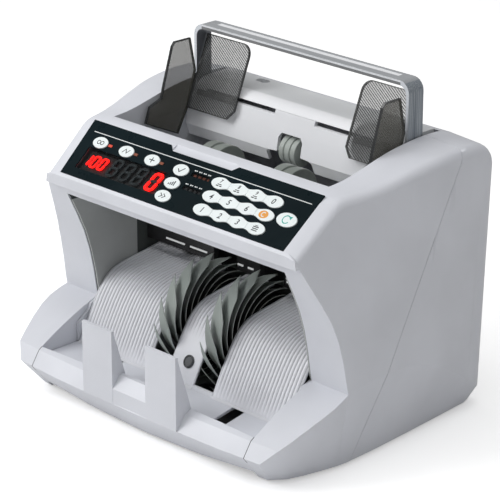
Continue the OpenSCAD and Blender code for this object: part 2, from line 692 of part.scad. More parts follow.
// filled front view of the handle, shrunk by an inset
module handle_outline(inset) {
  half = handle_x - inset;
  radius = 9 - inset;
  height = handle_top - inset - handle_axis[1];
  translate([-half, handle_axis[1]]) square([2*half, height - radius]);
  translate([-half + radius, handle_axis[1]]) square([2*(half - radius), height]);
  for (side = [-1, 1])
    translate([side*(half - radius), handle_axis[1] + height - radius]) circle(r = radius);
}
module handle_bail() color([0.8, 0.81, 0.83]) {
  difference() {
    extrude_y(64.3, 79.9) difference() {
      handle_outline(0);
      translate([0, -1]) handle_outline(strip_t);
      translate([-handle_inner_x, handle_axis[1] - 2]) square([2*handle_inner_x, 10]);
    }
    // groove along the top
    block([-91, 71.8, handle_top - 0.4], [91, 76.2, handle_top + 1]);
  }
  // eyes and pivots
  both_sides() {
    rod_x(handle_axis, 7.15, handle_inner_x, handle_x);
    rod_x(handle_axis, 3, 107.5, 117);
  }
}

module gap_screw() color([0.7, 0.7, 0.72]) difference() {
  union() {
    translate(concat(gap_screw_at, 186)) cylinder(r = 2, h = 20);
    translate(concat(gap_screw_at, 204)) cylinder(r = 3.2, h = 4);
  }
  translate([-65.5, 91.5, 207]) cube([7, 1, 2]);
}

// ---------------------------------------------------------------- wheels, rollers and drive
wheel_x = [15.4, 32.6];     // sides of the right stacking wheel
roller_x = [27, 45.4];      // sides of the right feed and separator rollers
lower_pulley_x = [-126, -118];
upper_pulley_x = [-134.6, -127];
stacker_pulley_r = 20;
feed_pulley_r = 10;         // also the kicker's
motor_pulley_r = 7;

// a blade runs from its tip inwards to the root while turning about the wheel
blade_root_r = 15;
blade_angles = [0, 10, 22, 36, 52, 70, 88, 106, 124, 142];
function blade_radius(a) = blade_r - (blade_r - blade_root_r)*a/142;
module blade() {
  outer = [for (a = blade_angles) blade_radius(a)*[cos(a), sin(a)]];
  inner = [for (i = [len(blade_angles)-1:-1:1])
    let (a = blade_angles[i])
    (blade_radius(a) - blade_t*min(1, 0.6 + a/50))*[cos(a), sin(a)]];
  polygon(concat(outer, inner));
}
// stacking wheel whose left side is at x0; the blades twist across its width
module stacker_wheel(x0) {
  width = wheel_x[1] - wheel_x[0];
  translate([x0, stacker_axis[0], stacker_axis[1]]) rotate([90, 0, 90]) difference() {
    linear_extrude(width, twist = -26, slices = 4) union() {
      for (i = [0:blade_n-1]) rotate(73.5 + i*360/blade_n) blade();
      circle(r = 16);
    }
    translate([0, 0, -1]) cylinder(r = shaft_r + 0.1, h = width + 2);
  }
}
module stacker_wheel_left() color(wheel_color) stacker_wheel(-wheel_x[1]);
module stacker_wheel_right() color(wheel_color) stacker_wheel(wheel_x[0]);

// flanged pulley, its bore 0.1 inside the shaft's surface
module pulley(axis, radius, span, shaft_radius) difference() {
  union() {
    rod_x(axis, radius, span[0], span[1]);
    rod_x(axis, radius + 1.4, span[0], span[0] + 0.8);
    rod_x(axis, radius + 1.4, span[1] - 0.8, span[1]);
  }
  rod_x(axis, shaft_radius - 0.1, span[0] - 1, span[1] + 1);
}
module stacker_shaft() color(steel_color) {
  rod_x(stacker_axis, shaft_r, -128, 119);
  pulley(stacker_axis, stacker_pulley_r, lower_pulley_x, shaft_r);
  // collars outside the wheels
  both_sides() rod_x(stacker_axis, 9, 33, 38);
}
module feed_shaft() color(steel_color) {
  rod_x(feed_axis, shaft_r, -136, 119);
  pulley(feed_axis, feed_pulley_r, lower_pulley_x, shaft_r);
  pulley(feed_axis, feed_pulley_r, upper_pulley_x, shaft_r);
}
module feed_rollers() color([0.6, 0.64, 0.6]) both_sides() difference() {
  rod_x(feed_axis, feed_r, roller_x[0], roller_x[1]);
  rod_x(feed_axis, shaft_r + 0.05, 20, 50);
  // groove around the roller
  difference() {
    rod_x(feed_axis, feed_r + 1, 34.6, 37.8);
    rod_x(feed_axis, feed_r - 1.4, 34, 38);
  }
}
module kicker_shaft() color(steel_color) {
  rod_x(kicker_axis, kicker_shaft_r, -136, 118);
  pulley(kicker_axis, feed_pulley_r, upper_pulley_x, kicker_shaft_r);
}
module kicker_roller() color([0.6, 0.64, 0.6]) difference() {
  rod_x(kicker_axis, 10.6, -8, 8);
  rod_x(kicker_axis, kicker_shaft_r + 0.05, -20, 20);
  // two grooves
  for (x = [-3.6, 2.4]) difference() {
    rod_x(kicker_axis, 15, x, x + 1.2);
    rod_x(kicker_axis, 9.5, x - 1, x + 3);
  }
}
module separator() color([0.35, 0.36, 0.37]) {
  both_sides() difference() {
    rod_x(separator_axis, 11.2, roller_x[0], roller_x[1]);
    rod_x(separator_axis, 3.2, 20, 50);
  }
  rod_x(separator_axis, 3, -108.2, 108.2);
}
module motor() color([0.5, 0.51, 0.53]) difference() {
  union() {
    rod_x(motor_axis, 20, -107, -58);
    rod_x(motor_axis, 8, -112, -106.9);
  }
  rod_x(motor_axis, motor_shaft_r + 0.2, -113, -57);
  rod_x(motor_axis + [14, 0], 1.5, -110, -58);
}
module motor_pulley() color(steel_color) {
  rod_x(motor_axis, motor_shaft_r, -127, -60);
  pulley(motor_axis, motor_pulley_r, lower_pulley_x, motor_shaft_r);
}

module belt_outline(axis_a, radius_a, axis_b, radius_b, clearance) hull() {
  translate(axis_a) circle(r = radius_a + clearance, $fn = 48);
  translate(axis_b) circle(r = radius_b + clearance, $fn = 48);
}
module belt(axis_a, radius_a, axis_b, radius_b, x0, x1) extrude_x(x0, x1) difference() {
  belt_outline(axis_a, radius_a, axis_b, radius_b, 1.25);
  belt_outline(axis_a, radius_a, axis_b, radius_b, 0.15);
}
module drive_belts() color([0.1, 0.1, 0.1]) {
  belt(stacker_axis, stacker_pulley_r, motor_axis, motor_pulley_r, -124.9, -122.2);
  belt(feed_axis, feed_pulley_r, motor_axis, motor_pulley_r, -121.6, -119.1);
  belt(feed_axis, feed_pulley_r, kicker_axis, feed_pulley_r, -133.4, -128.4);
}

// ---------------------------------------------------------------- assembly
at() front_housing();
at() rear_cover();
at() top_cover();
at() hopper_plate();
at() note_tray();
at() note_stops();
at() base_pan();
at() feet();
at() bay_liner();
at() inner_shroud();
at() stacker_plate();
at() side_frames();
at() bearings();
at() panel_overlay();
at() display_window();
at() digits_lit();
at() status_lamps();
at() control_board();
at() main_board();
at() power_supply();
at() power_inlet();
at() rear_screws();
at() sensor_lens();
at() separator();
at() drive_belts();
at() motor();
at() motor_pulley();
at() stacker_shaft();
at() stacker_wheel_left();
at() stacker_wheel_right();
at() feed_shaft();
at() feed_rollers();
at() kicker_shaft();
at() kicker_roller();
at() guide_left();
at() guide_right();
at() carriage_left();
at() carriage_right();
at() handle_bail();
at() power_rocker();
at() gap_screw();
at() pad_key(0, 0);  // key_1
at() pad_key(1, 0);  // key_2
at() pad_key(2, 0);  // key_3
at() pad_key(3, 0);  // key_batch
at() pad_key(0, 1);  // key_4
at() pad_key(1, 1);  // key_5
at() pad_key(2, 1);  // key_6
at() pad_key(3, 1);  // key_clear
at() pad_key(0, 2);  // key_7
at() pad_key(1, 2);  // key_8
at() pad_key(2, 2);  // key_9
at() pad_key(3, 2);  // key_0
at() key_restart();
at() oval_key(0);  // key_mode_a
at() oval_key(1);  // key_mode_b
at() oval_key(2);  // key_mode_c
at() oval_key(3);  // key_check
at() oval_key(4);  // key_level
at() oval_key(5);  // key_speed
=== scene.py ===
"""Desktop note counter: hopper on top, stacking bay and tray in front, sloping key panel, carrying handle.

It stands on z = 0 with its front towards -Y, its right side towards +X (seen from the front) and
+Z up. Lengths are in millimetres and are turned into metres by MM, except in materials, lights and
camera, which are in metres. Side-view (y, z) outlines are measured from BAY_Y.
"""
import json
import math
import bmesh
import bpy
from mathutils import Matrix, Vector


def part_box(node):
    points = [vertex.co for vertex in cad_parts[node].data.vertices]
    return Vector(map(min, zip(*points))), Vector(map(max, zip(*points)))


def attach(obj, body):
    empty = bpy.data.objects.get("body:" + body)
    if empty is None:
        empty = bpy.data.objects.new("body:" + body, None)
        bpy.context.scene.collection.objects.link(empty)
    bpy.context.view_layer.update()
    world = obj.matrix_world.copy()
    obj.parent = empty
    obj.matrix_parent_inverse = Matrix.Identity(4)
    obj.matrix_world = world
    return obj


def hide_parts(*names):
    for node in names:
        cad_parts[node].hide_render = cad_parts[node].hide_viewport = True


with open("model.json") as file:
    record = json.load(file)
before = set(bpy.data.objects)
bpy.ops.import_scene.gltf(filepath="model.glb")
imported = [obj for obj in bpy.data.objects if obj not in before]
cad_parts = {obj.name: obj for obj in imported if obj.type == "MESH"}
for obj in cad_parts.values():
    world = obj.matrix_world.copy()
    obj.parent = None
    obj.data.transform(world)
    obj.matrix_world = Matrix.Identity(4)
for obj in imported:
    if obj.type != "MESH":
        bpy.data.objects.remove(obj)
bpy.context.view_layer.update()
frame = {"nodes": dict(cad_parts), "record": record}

REC = frame["record"]
NODES = frame["nodes"]
SLOT = {part["node"]: part["material_slot"] for part in REC["subparts"]}
COL = bpy.context.scene.collection
MM = 0.001


def joint(name):
    return next(j for j in REC["behaviour"]["joints"] if j["name"] == name)


SPIN_POS = joint("stacker_spin")["pos_m"]       # stacker shaft, metres
AXLE_Y, AXLE_Z = SPIN_POS[1] / MM, SPIN_POS[2] / MM
BAY_Y = AXLE_Y + 3.0                            # y origin of the side-view outlines
GUIDE_LEAN = math.radians(22.1)                 # backward lean of the clear guides' back plates

# Stacking plate: three ribbed strips, with an open gap on either side of the middle one
PLATE_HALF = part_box("stacker_plate")[1].x / MM
MIDDLE_HALF = 14
SIDE_INNER = 34
RIB_PITCH = 3.25
RIB_FADE_Z = (60, 72)       # the middle strip's ribs rise to full height between these heights


def rib_layout(width):
    """Number of ribs on a strip, and the plain margin left at each side."""
    count = int((width - 1.2) / RIB_PITCH)
    return count, (width - count * RIB_PITCH) / 2


# ------------------------------------------------------------------ material builder
class Shader:
    """A Principled material textured in object coordinates, with short calls for its nodes."""

    def __init__(self, name):
        self.material = bpy.data.materials.new(name)
        self.material.use_nodes = True
        self.tree = self.material.node_tree
        self.tree.nodes.clear()
        output = self.node("ShaderNodeOutputMaterial")
        self.principled = self.node("ShaderNodeBsdfPrincipled")
        self.feed(output.inputs[0], self.principled.outputs[0])
        self.coords = self.node("ShaderNodeTexCoord").outputs["Object"]

    def node(self, kind, **settings):
        made = self.tree.nodes.new(kind)
        for key, value in settings.items():
            setattr(made, key, value)
        return made

    def feed(self, socket, value):
        """Link an output into a socket, or set the socket to a constant."""
        if hasattr(value, "is_output"):
            self.tree.links.new(value, socket)
        else:
            socket.default_value = value

    def set(self, name, value):
        self.feed(self.principled.inputs[name], value)

    def noise(self, scale, detail=2.0, rough=0.5, stretch=None):
        made = self.node("ShaderNodeTexNoise")
        made.inputs["Scale"].default_value = scale
        made.inputs["Detail"].default_value = detail
        made.inputs["Roughness"].default_value = rough
        source = self.coords
        if stretch:
            mapping = self.node("ShaderNodeMapping")
            mapping.inputs["Scale"].default_value = stretch
            self.feed(mapping.inputs["Vector"], source)
            source = mapping.outputs[0]
        self.feed(made.inputs["Vector"], source)
        return made.outputs[0]

    def remap(self, source, to=(0.0, 1.0), over=(0.3, 0.7)):
        """Map the input range `over` onto the output range `to`."""
        made = self.node("ShaderNodeMapRange")
        for name, value in zip(("From Min", "From Max", "To Min", "To Max"), (*over, *to)):
            made.inputs[name].default_value = value
        self.feed(made.inputs["Value"], source)
        return made.outputs[0]

    def math(self, operation, *operands):
        made = self.node("ShaderNodeMath", operation=operation)
        for socket, value in zip(made.inputs, operands):
            self.feed(socket, value)
        return made.outputs[0]

    def above(self, value, limit):
        return self.math("GREATER_THAN", value, limit)

    def below(self, value, limit):
        return self.math("LESS_THAN", value, limit)

    def times(self, a, b):
        return self.math("MULTIPLY", a, b)

    def plus(self, a, b):
        return self.math("ADD", a, b)

    def mix(self, mask, off, on, blend="MIX"):
        """Colour `off` where the mask is 0, and `on` where it is 1."""
        made = self.node("ShaderNodeMix", data_type="RGBA", blend_type=blend)
        self.feed(made.inputs[0], mask)
        for socket, color in ((made.inputs[6], off), (made.inputs[7], on)):
            self.feed(socket, color if hasattr(color, "is_output") else (*color, 1))
        return made.outputs[2]

    def shade(self, color, amount):
        return self.mix(1.0, off=color, on=amount, blend="MULTIPLY")

    def axes(self, source=None):
        """The x, y and z of a vector, by default of the object coordinates."""
        made = self.node("ShaderNodeSeparateXYZ")
        self.feed(made.inputs[0], source or self.coords)
        return tuple(made.outputs)

    def true_normal(self):
        return self.node("ShaderNodeNewGeometry").outputs["True Normal"]

    def bump(self, source, depth, strength):
        made = self.node("ShaderNodeBump")
        made.inputs["Strength"].default_value = strength
        made.inputs["Distance"].default_value = depth
        self.feed(made.inputs["Height"], source)
        self.set("Normal", made.outputs[0])


PATCHY = (0.35, 0.65)       # tighter noise range, for broad patches with more contrast


# ------------------------------------------------------------------ plain materials
# grain is the scale of the fine relief, depth its height in metres
def plastic(name, rgb, rough=0.45, grain=900, depth=0.00003, wear=0.06, coat=0.0, spec=0.5):
    m = Shader(name)
    dark = tuple(c * (1 - wear) for c in rgb)
    light = tuple(min(1, c * (1 + wear * 0.4)) for c in rgb)
    m.set("Base Color", m.mix(m.remap(m.noise(scale=14, detail=3), over=PATCHY), dark, light))
    m.set("Roughness", m.remap(m.noise(scale=60, detail=4), to=(rough - 0.05, rough + 0.06)))
    m.set("Coat Weight", coat)
    m.set("Coat Roughness", 0.12)
    m.set("Specular IOR Level", spec)
    m.bump(m.noise(scale=grain), depth, strength=0.6)
    return m.material


def metal(name, rgb, rough=0.3, stretch=(1, 1, 1)):
    m = Shader(name)
    brushing = m.noise(scale=900, detail=3, rough=0.6, stretch=stretch)
    m.set("Metallic", 1.0)
    dull = tuple(c * 0.9 for c in rgb)
    m.set("Base Color", m.mix(m.remap(m.noise(scale=30, detail=3)), dull, rgb))
    m.set("Roughness", m.remap(brushing, to=(rough - 0.08, rough + 0.1)))
    m.bump(brushing, depth=0.00002, strength=0.5)
    return m.material


def rubber(name, rgb, rough=0.55, grain=700):
    m = Shader(name)
    dark = tuple(c * 0.82 for c in rgb)
    m.set("Base Color", m.mix(m.remap(m.noise(scale=40, detail=4)), dark, rgb))
    m.set("Roughness", m.remap(m.noise(scale=120, detail=3), to=(rough - 0.08, rough + 0.08)))
    m.set("Sheen Weight", 0.15)
    m.bump(m.noise(scale=grain, detail=3), depth=0.00004, strength=0.7)
    return m.material


def glow(name, rgb, strength, base=(0.3, 0.01, 0.01)):
    m = Shader(name)
    m.set("Base Color", (*base, 1))
    m.set("Roughness", 0.3)
    m.set("Emission Color", (*rgb, 1))
    m.set("Emission Strength",
          m.remap(m.noise(scale=500, detail=1), to=(strength * 0.85, strength)))
    return m.material


# ------------------------------------------------------------------ particular materials
def alloy():
    """Brushed strip, coloured by which way each face points: streaked grey on top; on the front faces a
    painted highlight line along the top edge over a painted underside shadow, and painted highlights on
    the legs' front edges; bluish brushed streaks on the outer flanks, darkened as painted shade; inner
    faces painted dark as shade.
    """
    m = Shader("handle_alloy_painted_light")
    normal_x, normal_y, _ = m.axes(m.true_normal())
    x, _, z = m.axes()
    leg_x, highlight_z = 0.0995, 0.2518    # the legs lie beyond leg_x; on the front faces, a painted highlight line above this height and painted underside shadow below it

    def outward():
        return m.times(normal_x, m.math("SIGN", x))

    ahead = m.below(normal_y, -0.6)
    outer = m.above(outward(), 0.5)
    inner = m.below(outward(), -0.5)
    bar = m.noise(scale=200, detail=4, rough=0.6, stretch=(0.08, 8, 8))
    legs = m.noise(scale=200, detail=4, rough=0.6, stretch=(8, 8, 0.08))
    top = m.mix(m.remap(bar), off=(0.33, 0.345, 0.365), on=(0.47, 0.485, 0.505))
    # front faces: painted highlight line above, painted underside shadow below, painted highlights on the
    # legs' fronts
    front = m.mix(m.below(z, highlight_z), off=(0.78, 0.80, 0.83), on=(0.20, 0.205, 0.21))
    front = m.mix(m.above(m.math("ABSOLUTE", x), leg_x), off=front, on=(0.66, 0.69, 0.73))
    # outer flanks: real brushing streaks, with their dark tones as painted shade
    flank = m.mix(m.remap(legs, over=PATCHY), off=(0.13, 0.155, 0.185), on=(0.42, 0.455, 0.49))
    color = m.mix(outer, off=top, on=flank)
    # inner faces: painted shade
    color = m.mix(inner, off=color, on=(0.14, 0.15, 0.17))
    color = m.mix(ahead, off=color, on=front)
    m.set("Metallic", 0.25)
    m.set("Base Color", color)
    m.set("Roughness", m.remap(bar, to=(0.26, 0.36)))
    m.bump(bar, depth=0.00001, strength=0.3)
    return m.material


def window():
    m = Shader("window_tint")
    m.set("Base Color", m.mix(m.remap(m.noise(scale=80)),
                              off=(0.003, 0.004, 0.0045), on=(0.005, 0.006, 0.007)))
    m.set("Roughness", 0.2)
    m.set("Specular IOR Level", 0.2)
    m.set("Alpha", 0.25)
    m.bump(m.noise(scale=300), depth=0.00001, strength=0.3)
    return m.material


def lamp():
    """Lamp lenses: those at the left end are lit, the upper ones are reddish."""
    m = Shader("lamp_lens")
    x, _, z = m.axes()
    lit = m.below(x, -0.07)
    upper = m.above(z, 0.1815)
    m.set("Base Color", m.mix(upper, off=(0.05, 0.055, 0.06), on=(0.20, 0.06, 0.03)))
    m.set("Roughness", 0.3)
    m.set("Emission Color", m.mix(lit, off=(0.9, 0.16, 0.04), on=(1.0, 0.04, 0.02)))
    lit_glow, upper_glow = 0.5, 0.04
    m.set("Emission Strength", m.plus(m.times(lit, lit_glow), m.times(upper, upper_glow)))
    m.bump(m.noise(scale=900), depth=0.00002, strength=0.4)
    return m.material


def lid():
    """Flat lid: its flat top in light grey, darkened as painted shade; its sloping front band in bright
    white, lightened as painted light.
    """
    m = Shader("lid_plastic_painted_light")
    _, y, _ = m.axes()
    back = m.remap(y, over=((70.0 + BAY_Y) * MM, (72.0 + BAY_Y) * MM))
    patches = m.remap(m.noise(scale=14, detail=3), over=PATCHY)
    # flat top: grey as painted shade; front band: brighter white as painted light
    grey = m.mix(patches, off=(0.66, 0.675, 0.69), on=(0.73, 0.745, 0.76))
    white = m.mix(patches, off=(0.90, 0.91, 0.935), on=(0.96, 0.965, 0.985))
    m.set("Base Color", m.mix(back, off=white, on=grey))
    m.set("Roughness", m.remap(m.noise(scale=60, detail=4), to=(0.42, 0.52)))
    m.bump(m.noise(scale=900), depth=0.00003, strength=0.6)
    return m.material


def liner():
    """Side liners: a light grey sheet, a dark sheet set further out, and a pale toe."""
    m = Shader("liner_plastic")
    x, y, z = m.axes()
    dark_x, toe_y, toe_z = 0.1100, (-45.5 + BAY_Y) * MM, 0.060
    deep = m.above(m.math("ABSOLUTE", x), dark_x)
    color = m.mix(deep, off=(0.49, 0.505, 0.495), on=(0.075, 0.085, 0.08))
    toe = m.times(m.below(y, toe_y), m.below(z, toe_z))
    color = m.mix(toe, off=color, on=(0.68, 0.695, 0.745))
    m.set("Base Color", m.shade(color, m.remap(m.noise(scale=30, detail=3), to=(0.88, 1.0))))
    m.set("Roughness", m.remap(m.noise(scale=90, detail=3), to=(0.45, 0.55)))
    m.bump(m.noise(scale=900), depth=0.00003, strength=0.5)
    return m.material


def blade_rubber_painted_light():
    """Moulded grey-green rubber: its own tone on the tips, darkened towards the hub as painted shade
    between the blades, thin pale side edges.
    """
    m = Shader("blade_rubber_painted_light")
    _, y, z = m.axes()
    dy = m.math("SUBTRACT", y, SPIN_POS[1])
    dz = m.math("SUBTRACT", z, SPIN_POS[2])
    radius = m.math("SQRT", m.plus(m.times(dy, dy), m.times(dz, dz)))
    normal_x, _, _ = m.axes(m.true_normal())
    side = m.above(m.math("ABSOLUTE", normal_x), 0.6)
    # faces: the rubber's own grey-green near the tips, painted shade darkening it towards the hub
    face = m.mix(m.remap(radius, over=(0.034, 0.0435)),
                 off=(0.022, 0.025, 0.023), on=(0.37, 0.41, 0.385))
    edge = m.mix(m.remap(radius, over=(0.024, 0.044)),
                 off=(0.34, 0.34, 0.315), on=(0.46, 0.50, 0.48))
    color = m.mix(side, off=face, on=edge)
    m.set("Base Color", m.shade(color, m.remap(m.noise(scale=60, detail=4), to=(0.82, 1.0))))
    m.set("Roughness", m.remap(m.noise(scale=120, detail=3), to=(0.38, 0.52)))
    m.bump(m.noise(scale=1500, detail=3), depth=0.00004, strength=0.6)
    return m.material


def clear_sheet():
    """Smoked sheet: see-through faces, slanted fine lines on the back plates, dark edges."""
    m = Shader("clear_sheet")
    normal = m.true_normal()
    facing = 0.93                       # how squarely a face must point to count
    normal_x, _, _ = m.axes(normal)
    side = m.above(m.math("ABSOLUTE", normal_x), facing)
    dot = m.node("ShaderNodeVectorMath", operation="DOT_PRODUCT")
    m.feed(dot.inputs[0], normal)
    dot.inputs[1].default_value = (0, math.cos(GUIDE_LEAN), -math.sin(GUIDE_LEAN))
    back = m.above(m.math("ABSOLUTE", dot.outputs["Value"]), facing)
    face = m.math("MAXIMUM", side, back)

    x, _, z = m.axes()
    weight_x, weight_z = 1.0, 1.7       # set the slant of the lines
    line_pitch, line_start = 0.0031, 0.58
    slant = m.plus(m.times(x, weight_x), m.times(z, weight_z))
    saw = m.math("FRACT", m.times(slant, 1 / line_pitch))
    line = m.times(m.above(saw, line_start), back)

    color = m.mix(face, off=(0.03, 0.033, 0.035), on=(0.22, 0.225, 0.225))
    color = m.mix(side, off=color, on=(0.13, 0.125, 0.105))
    m.set("Base Color", m.mix(line, off=color, on=(0.03, 0.032, 0.032)))
    m.set("Roughness", 0.18)
    # faces lose `clearness` of their opacity; lines and side faces win some back
    clearness, line_gain, side_gain = 0.64, 0.34, 0.16
    gain = m.plus(m.times(line, line_gain), m.times(side, side_gain))
    loss = m.times(face, m.math("SUBTRACT", clearness, gain))
    m.set("Alpha", m.math("SUBTRACT", 1.0, loss))
    m.set("IOR", 1.3)
    m.bump(m.plus(line, m.noise(scale=240, detail=1)), depth=0.00003, strength=0.2)
    return m.material


def ribbed():
    """Plate plastic with the shade that gathers in the narrow grooves between the ribs."""
    m = Shader("plate_ribbed")
    x, _, z = m.axes()
    x = m.times(x, 1000.0)
    split_x = 20.0                      # lies in the gaps between the strips
    right = m.above(x, split_x)
    left = m.below(x, -split_x)

    # shift each strip so that its first rib starts at zero
    side_margin = rib_layout(PLATE_HALF - SIDE_INNER)[1]
    middle_shift = MIDDLE_HALF - rib_layout(2 * MIDDLE_HALF)[1]
    right_shift = -SIDE_INNER - side_margin
    left_shift = PLATE_HALF - side_margin
    shift = m.plus(middle_shift, m.times(right, right_shift - middle_shift))
    shift = m.plus(shift, m.times(left, left_shift - middle_shift))
    phase = m.math("FRACT", m.times(m.plus(x, shift), 1 / RIB_PITCH))
    groove_start, groove_end = 0.80, 0.03       # in pitches, across the wrap
    groove = m.math("MAXIMUM", m.above(phase, groove_start), m.below(phase, groove_end))

    # the grooves fade out towards the foot, lower down on the side strips
    side_drop = -28.0
    drop = m.times(m.plus(right, left), side_drop)
    height = m.plus(m.times(z, 1000.0), m.times(drop, -1.0))
    groove = m.times(groove, m.remap(height, over=RIB_FADE_Z))
    patches = m.remap(m.noise(scale=14, detail=3), over=PATCHY)
    plain = m.mix(patches, off=(0.74, 0.75, 0.79), on=(0.79, 0.80, 0.84))
    m.set("Base Color", m.mix(groove, off=plain, on=(0.47, 0.48, 0.505)))
    m.set("Roughness", m.remap(m.noise(scale=60, detail=4), to=(0.30, 0.40)))
    m.bump(m.noise(scale=1400), depth=0.00001, strength=0.6)
    return m.material


# Keyed by the record's material slots, with further ones for added pieces
MAT = {
    "cover": plastic("cover_plastic", (0.70, 0.715, 0.765), rough=0.42),
    "tray": plastic("tray_plastic", (0.69, 0.705, 0.755), rough=0.40),
    "plate": plastic("plate_plastic", (0.70, 0.71, 0.745), rough=0.34, grain=1400,
                     depth=0.00001),
    # hopper plate: white raised above the housing's white as painted light, making up for the shade under
    # the front panel and guides
    "hopper": plastic("hopper_plastic_painted_light", (0.93, 0.94, 0.97), rough=0.42, wear=0.03),
    "black": plastic("black_plastic", (0.012, 0.012, 0.013), rough=0.5),
    "pan": metal("pan_steel", (0.35, 0.36, 0.38), rough=0.5),
    "foot": rubber("foot_rubber", (0.02, 0.02, 0.02)),
    "steel": metal("shaft_steel", (0.62, 0.63, 0.65), rough=0.28, stretch=(1, 30, 30)),
    "bronze": metal("bush_bronze", (0.6, 0.42, 0.2), rough=0.4),
    "board": plastic("board_lacquer", (0.015, 0.09, 0.04), rough=0.3, grain=400,
                     depth=0.0001, wear=0.3, coat=0.4),
    "psu": metal("psu_sheet", (0.6, 0.61, 0.63), rough=0.4, stretch=(1, 20, 1)),
    "lens": plastic("lens_dark", (0.03, 0.034, 0.038), rough=0.15, grain=200,
                    depth=0.00001, wear=0.1, coat=1.0),
    "lens_face": plastic("lens_face", (0.085, 0.09, 0.095), rough=0.3, grain=400,
                         depth=0.00001, wear=0.1, coat=0.3),
    "belt": rubber("belt_rubber", (0.015, 0.015, 0.015)),
    "roller": rubber("roller_rubber", (0.22, 0.245, 0.225), rough=0.5, grain=500),
    "kicker": rubber("kicker_rubber", (0.46, 0.50, 0.47), rough=0.5, grain=500),
    "carriage": plastic("carriage_nylon", (0.02, 0.02, 0.02), rough=0.5),
    "rocker": plastic("rocker_gloss", (0.015, 0.015, 0.016), rough=0.2,
                      depth=0.00001, wear=0.1, coat=0.6),
    "key": plastic("key_cap", (0.84, 0.90, 0.90), rough=0.3, grain=1600,
                   depth=0.00001, wear=0.03, coat=0.3),
    "ink_orange": plastic("ink_orange", (0.80, 0.34, 0.05), rough=0.35, grain=1600,
                          depth=0.00001, wear=0.05),
    "ink": plastic("ink_dark", (0.03, 0.04, 0.045), rough=0.5),
    "ink_teal": plastic("ink_teal", (0.03, 0.42, 0.36), rough=0.5),
    "ink_white": plastic("ink_white", (0.75, 0.78, 0.78), rough=0.5),
    "panel_film": plastic("panel_film", (0.0035, 0.0105, 0.0135), rough=0.3, grain=2600,
                          depth=0.000012, wear=0.25, spec=0.07),
    # light bars: white reflectors with a faint glow as painted light
    "reflector": glow("reflector_painted_glow", (0.9, 0.92, 0.92), strength=0.3,
                      base=(0.75, 0.76, 0.76)),
    "digit_on": glow("digit_on", (1.0, 0.007, 0.004), strength=4.0),
    "digit_off": plastic("digit_off", (0.035, 0.05, 0.056), rough=0.4),
    "edge": plastic("sheet_edge", (0.018, 0.02, 0.021), rough=0.25, grain=1200,
                    depth=0.00001, wear=0.1, coat=0.2),
    # handle band: near-white as painted reflection of the polished groove
    "bright": plastic("handle_band_painted_reflection", (0.90, 0.91, 0.93), rough=0.3, grain=300,
                      depth=0.00001, wear=0.03, coat=0.3),
    "alloy": alloy(),
    "window": window(),
    "lamp": lamp(),
    "lid": lid(),
    "liner": liner(),
    "blade": blade_rubber_painted_light(),
    "clear": clear_sheet(),
    "ribbed": ribbed(),
}


# ------------------------------------------------------------------ carried-over solids
def add_bevel(obj, width, angle, segments):
    bevel = obj.modifiers.new("bevel", "BEVEL")
    bevel.width = width * MM
    bevel.segments = segments
    bevel.limit_method = "ANGLE"
    bevel.angle_limit = math.radians(angle)
    return bevel


def dress(node, material=None, bevel=0.35, angle=28, segments=2, dissolve=True):
    """Give a carried-over solid its material, soft edges and smooth shading."""
    obj = NODES[node]
    mesh = obj.data
    normals = mesh.attributes.get("custom_normal")
    if normals is not None:
        mesh.attributes.remove(normals)
    mesh.polygons.foreach_set("use_smooth", [True] * len(mesh.polygons))
    mesh.materials.clear()
    mesh.materials.append(material or MAT.get(SLOT[node]) or MAT["cover"])
    obj.modifiers.new("weld", "WELD").merge_threshold = 2e-6
    if dissolve:
        planar = obj.modifiers.new("planar", "DECIMATE")
        planar.decimate_type = "DISSOLVE"
        planar.angle_limit = math.radians(0.3)
    if bevel:
        modifier = add_bevel(obj, bevel, angle, segments)
        modifier.miter_outer = "MITER_ARC"
        modifier.use_clamp_overlap = True
    weighted = obj.modifiers.new("wn", "WEIGHTED_NORMAL")
    weighted.keep_sharp = True
    weighted.weight = 60


# (y, z) along the curved crease of the housing's flanks
CREASE = [(-36, 60.4), (-19, 63.6), (0, 64.8), (24, 63.4), (49, 56.6),
          (68, 47.4), (85, 36.8), (98.5, 27.2), (112, 17), (124, 13)]


def crease_z(y):
    for (y0, z0), (y1, z1) in zip(CREASE, CREASE[1:]):
        if y <= y1:
            return z0 + (z1 - z0) * (max(y, y0) - y0) / (y1 - y0)
    return CREASE[-1][1]


def on_crease(point):
    y = point.y / MM - BAY_Y
    return abs(point.x) > 0.112 and abs(point.z / MM - crease_z(y)) < 0.5 and y > -36.2


def dress_cover(node):
    """Housing half: its flat back is shaded flat, so that the vents leave no streaks, and the
    shallow crease on its flanks is marked sharp."""
    dress(node, bevel=0.8, angle=24, segments=3, dissolve=False)
    mesh = NODES[node].data
    mesh.polygons.foreach_set("use_smooth", [q.normal.y < 0.9995 for q in mesh.polygons])
    on = [on_crease(v.co) for v in mesh.vertices]
    sharp = (mesh.attributes.get("sharp_edge")
             or mesh.attributes.new("sharp_edge", "BOOLEAN", "EDGE"))
    sharp.data.foreach_set("value", [on[e.vertices[0]] and on[e.vertices[1]] for e in mesh.edges])


KEYS = [name for name in NODES if name.startswith("key_")]
KEYPAD = ["key_" + kind for kind in (*"1234567890", "clear", "batch")]

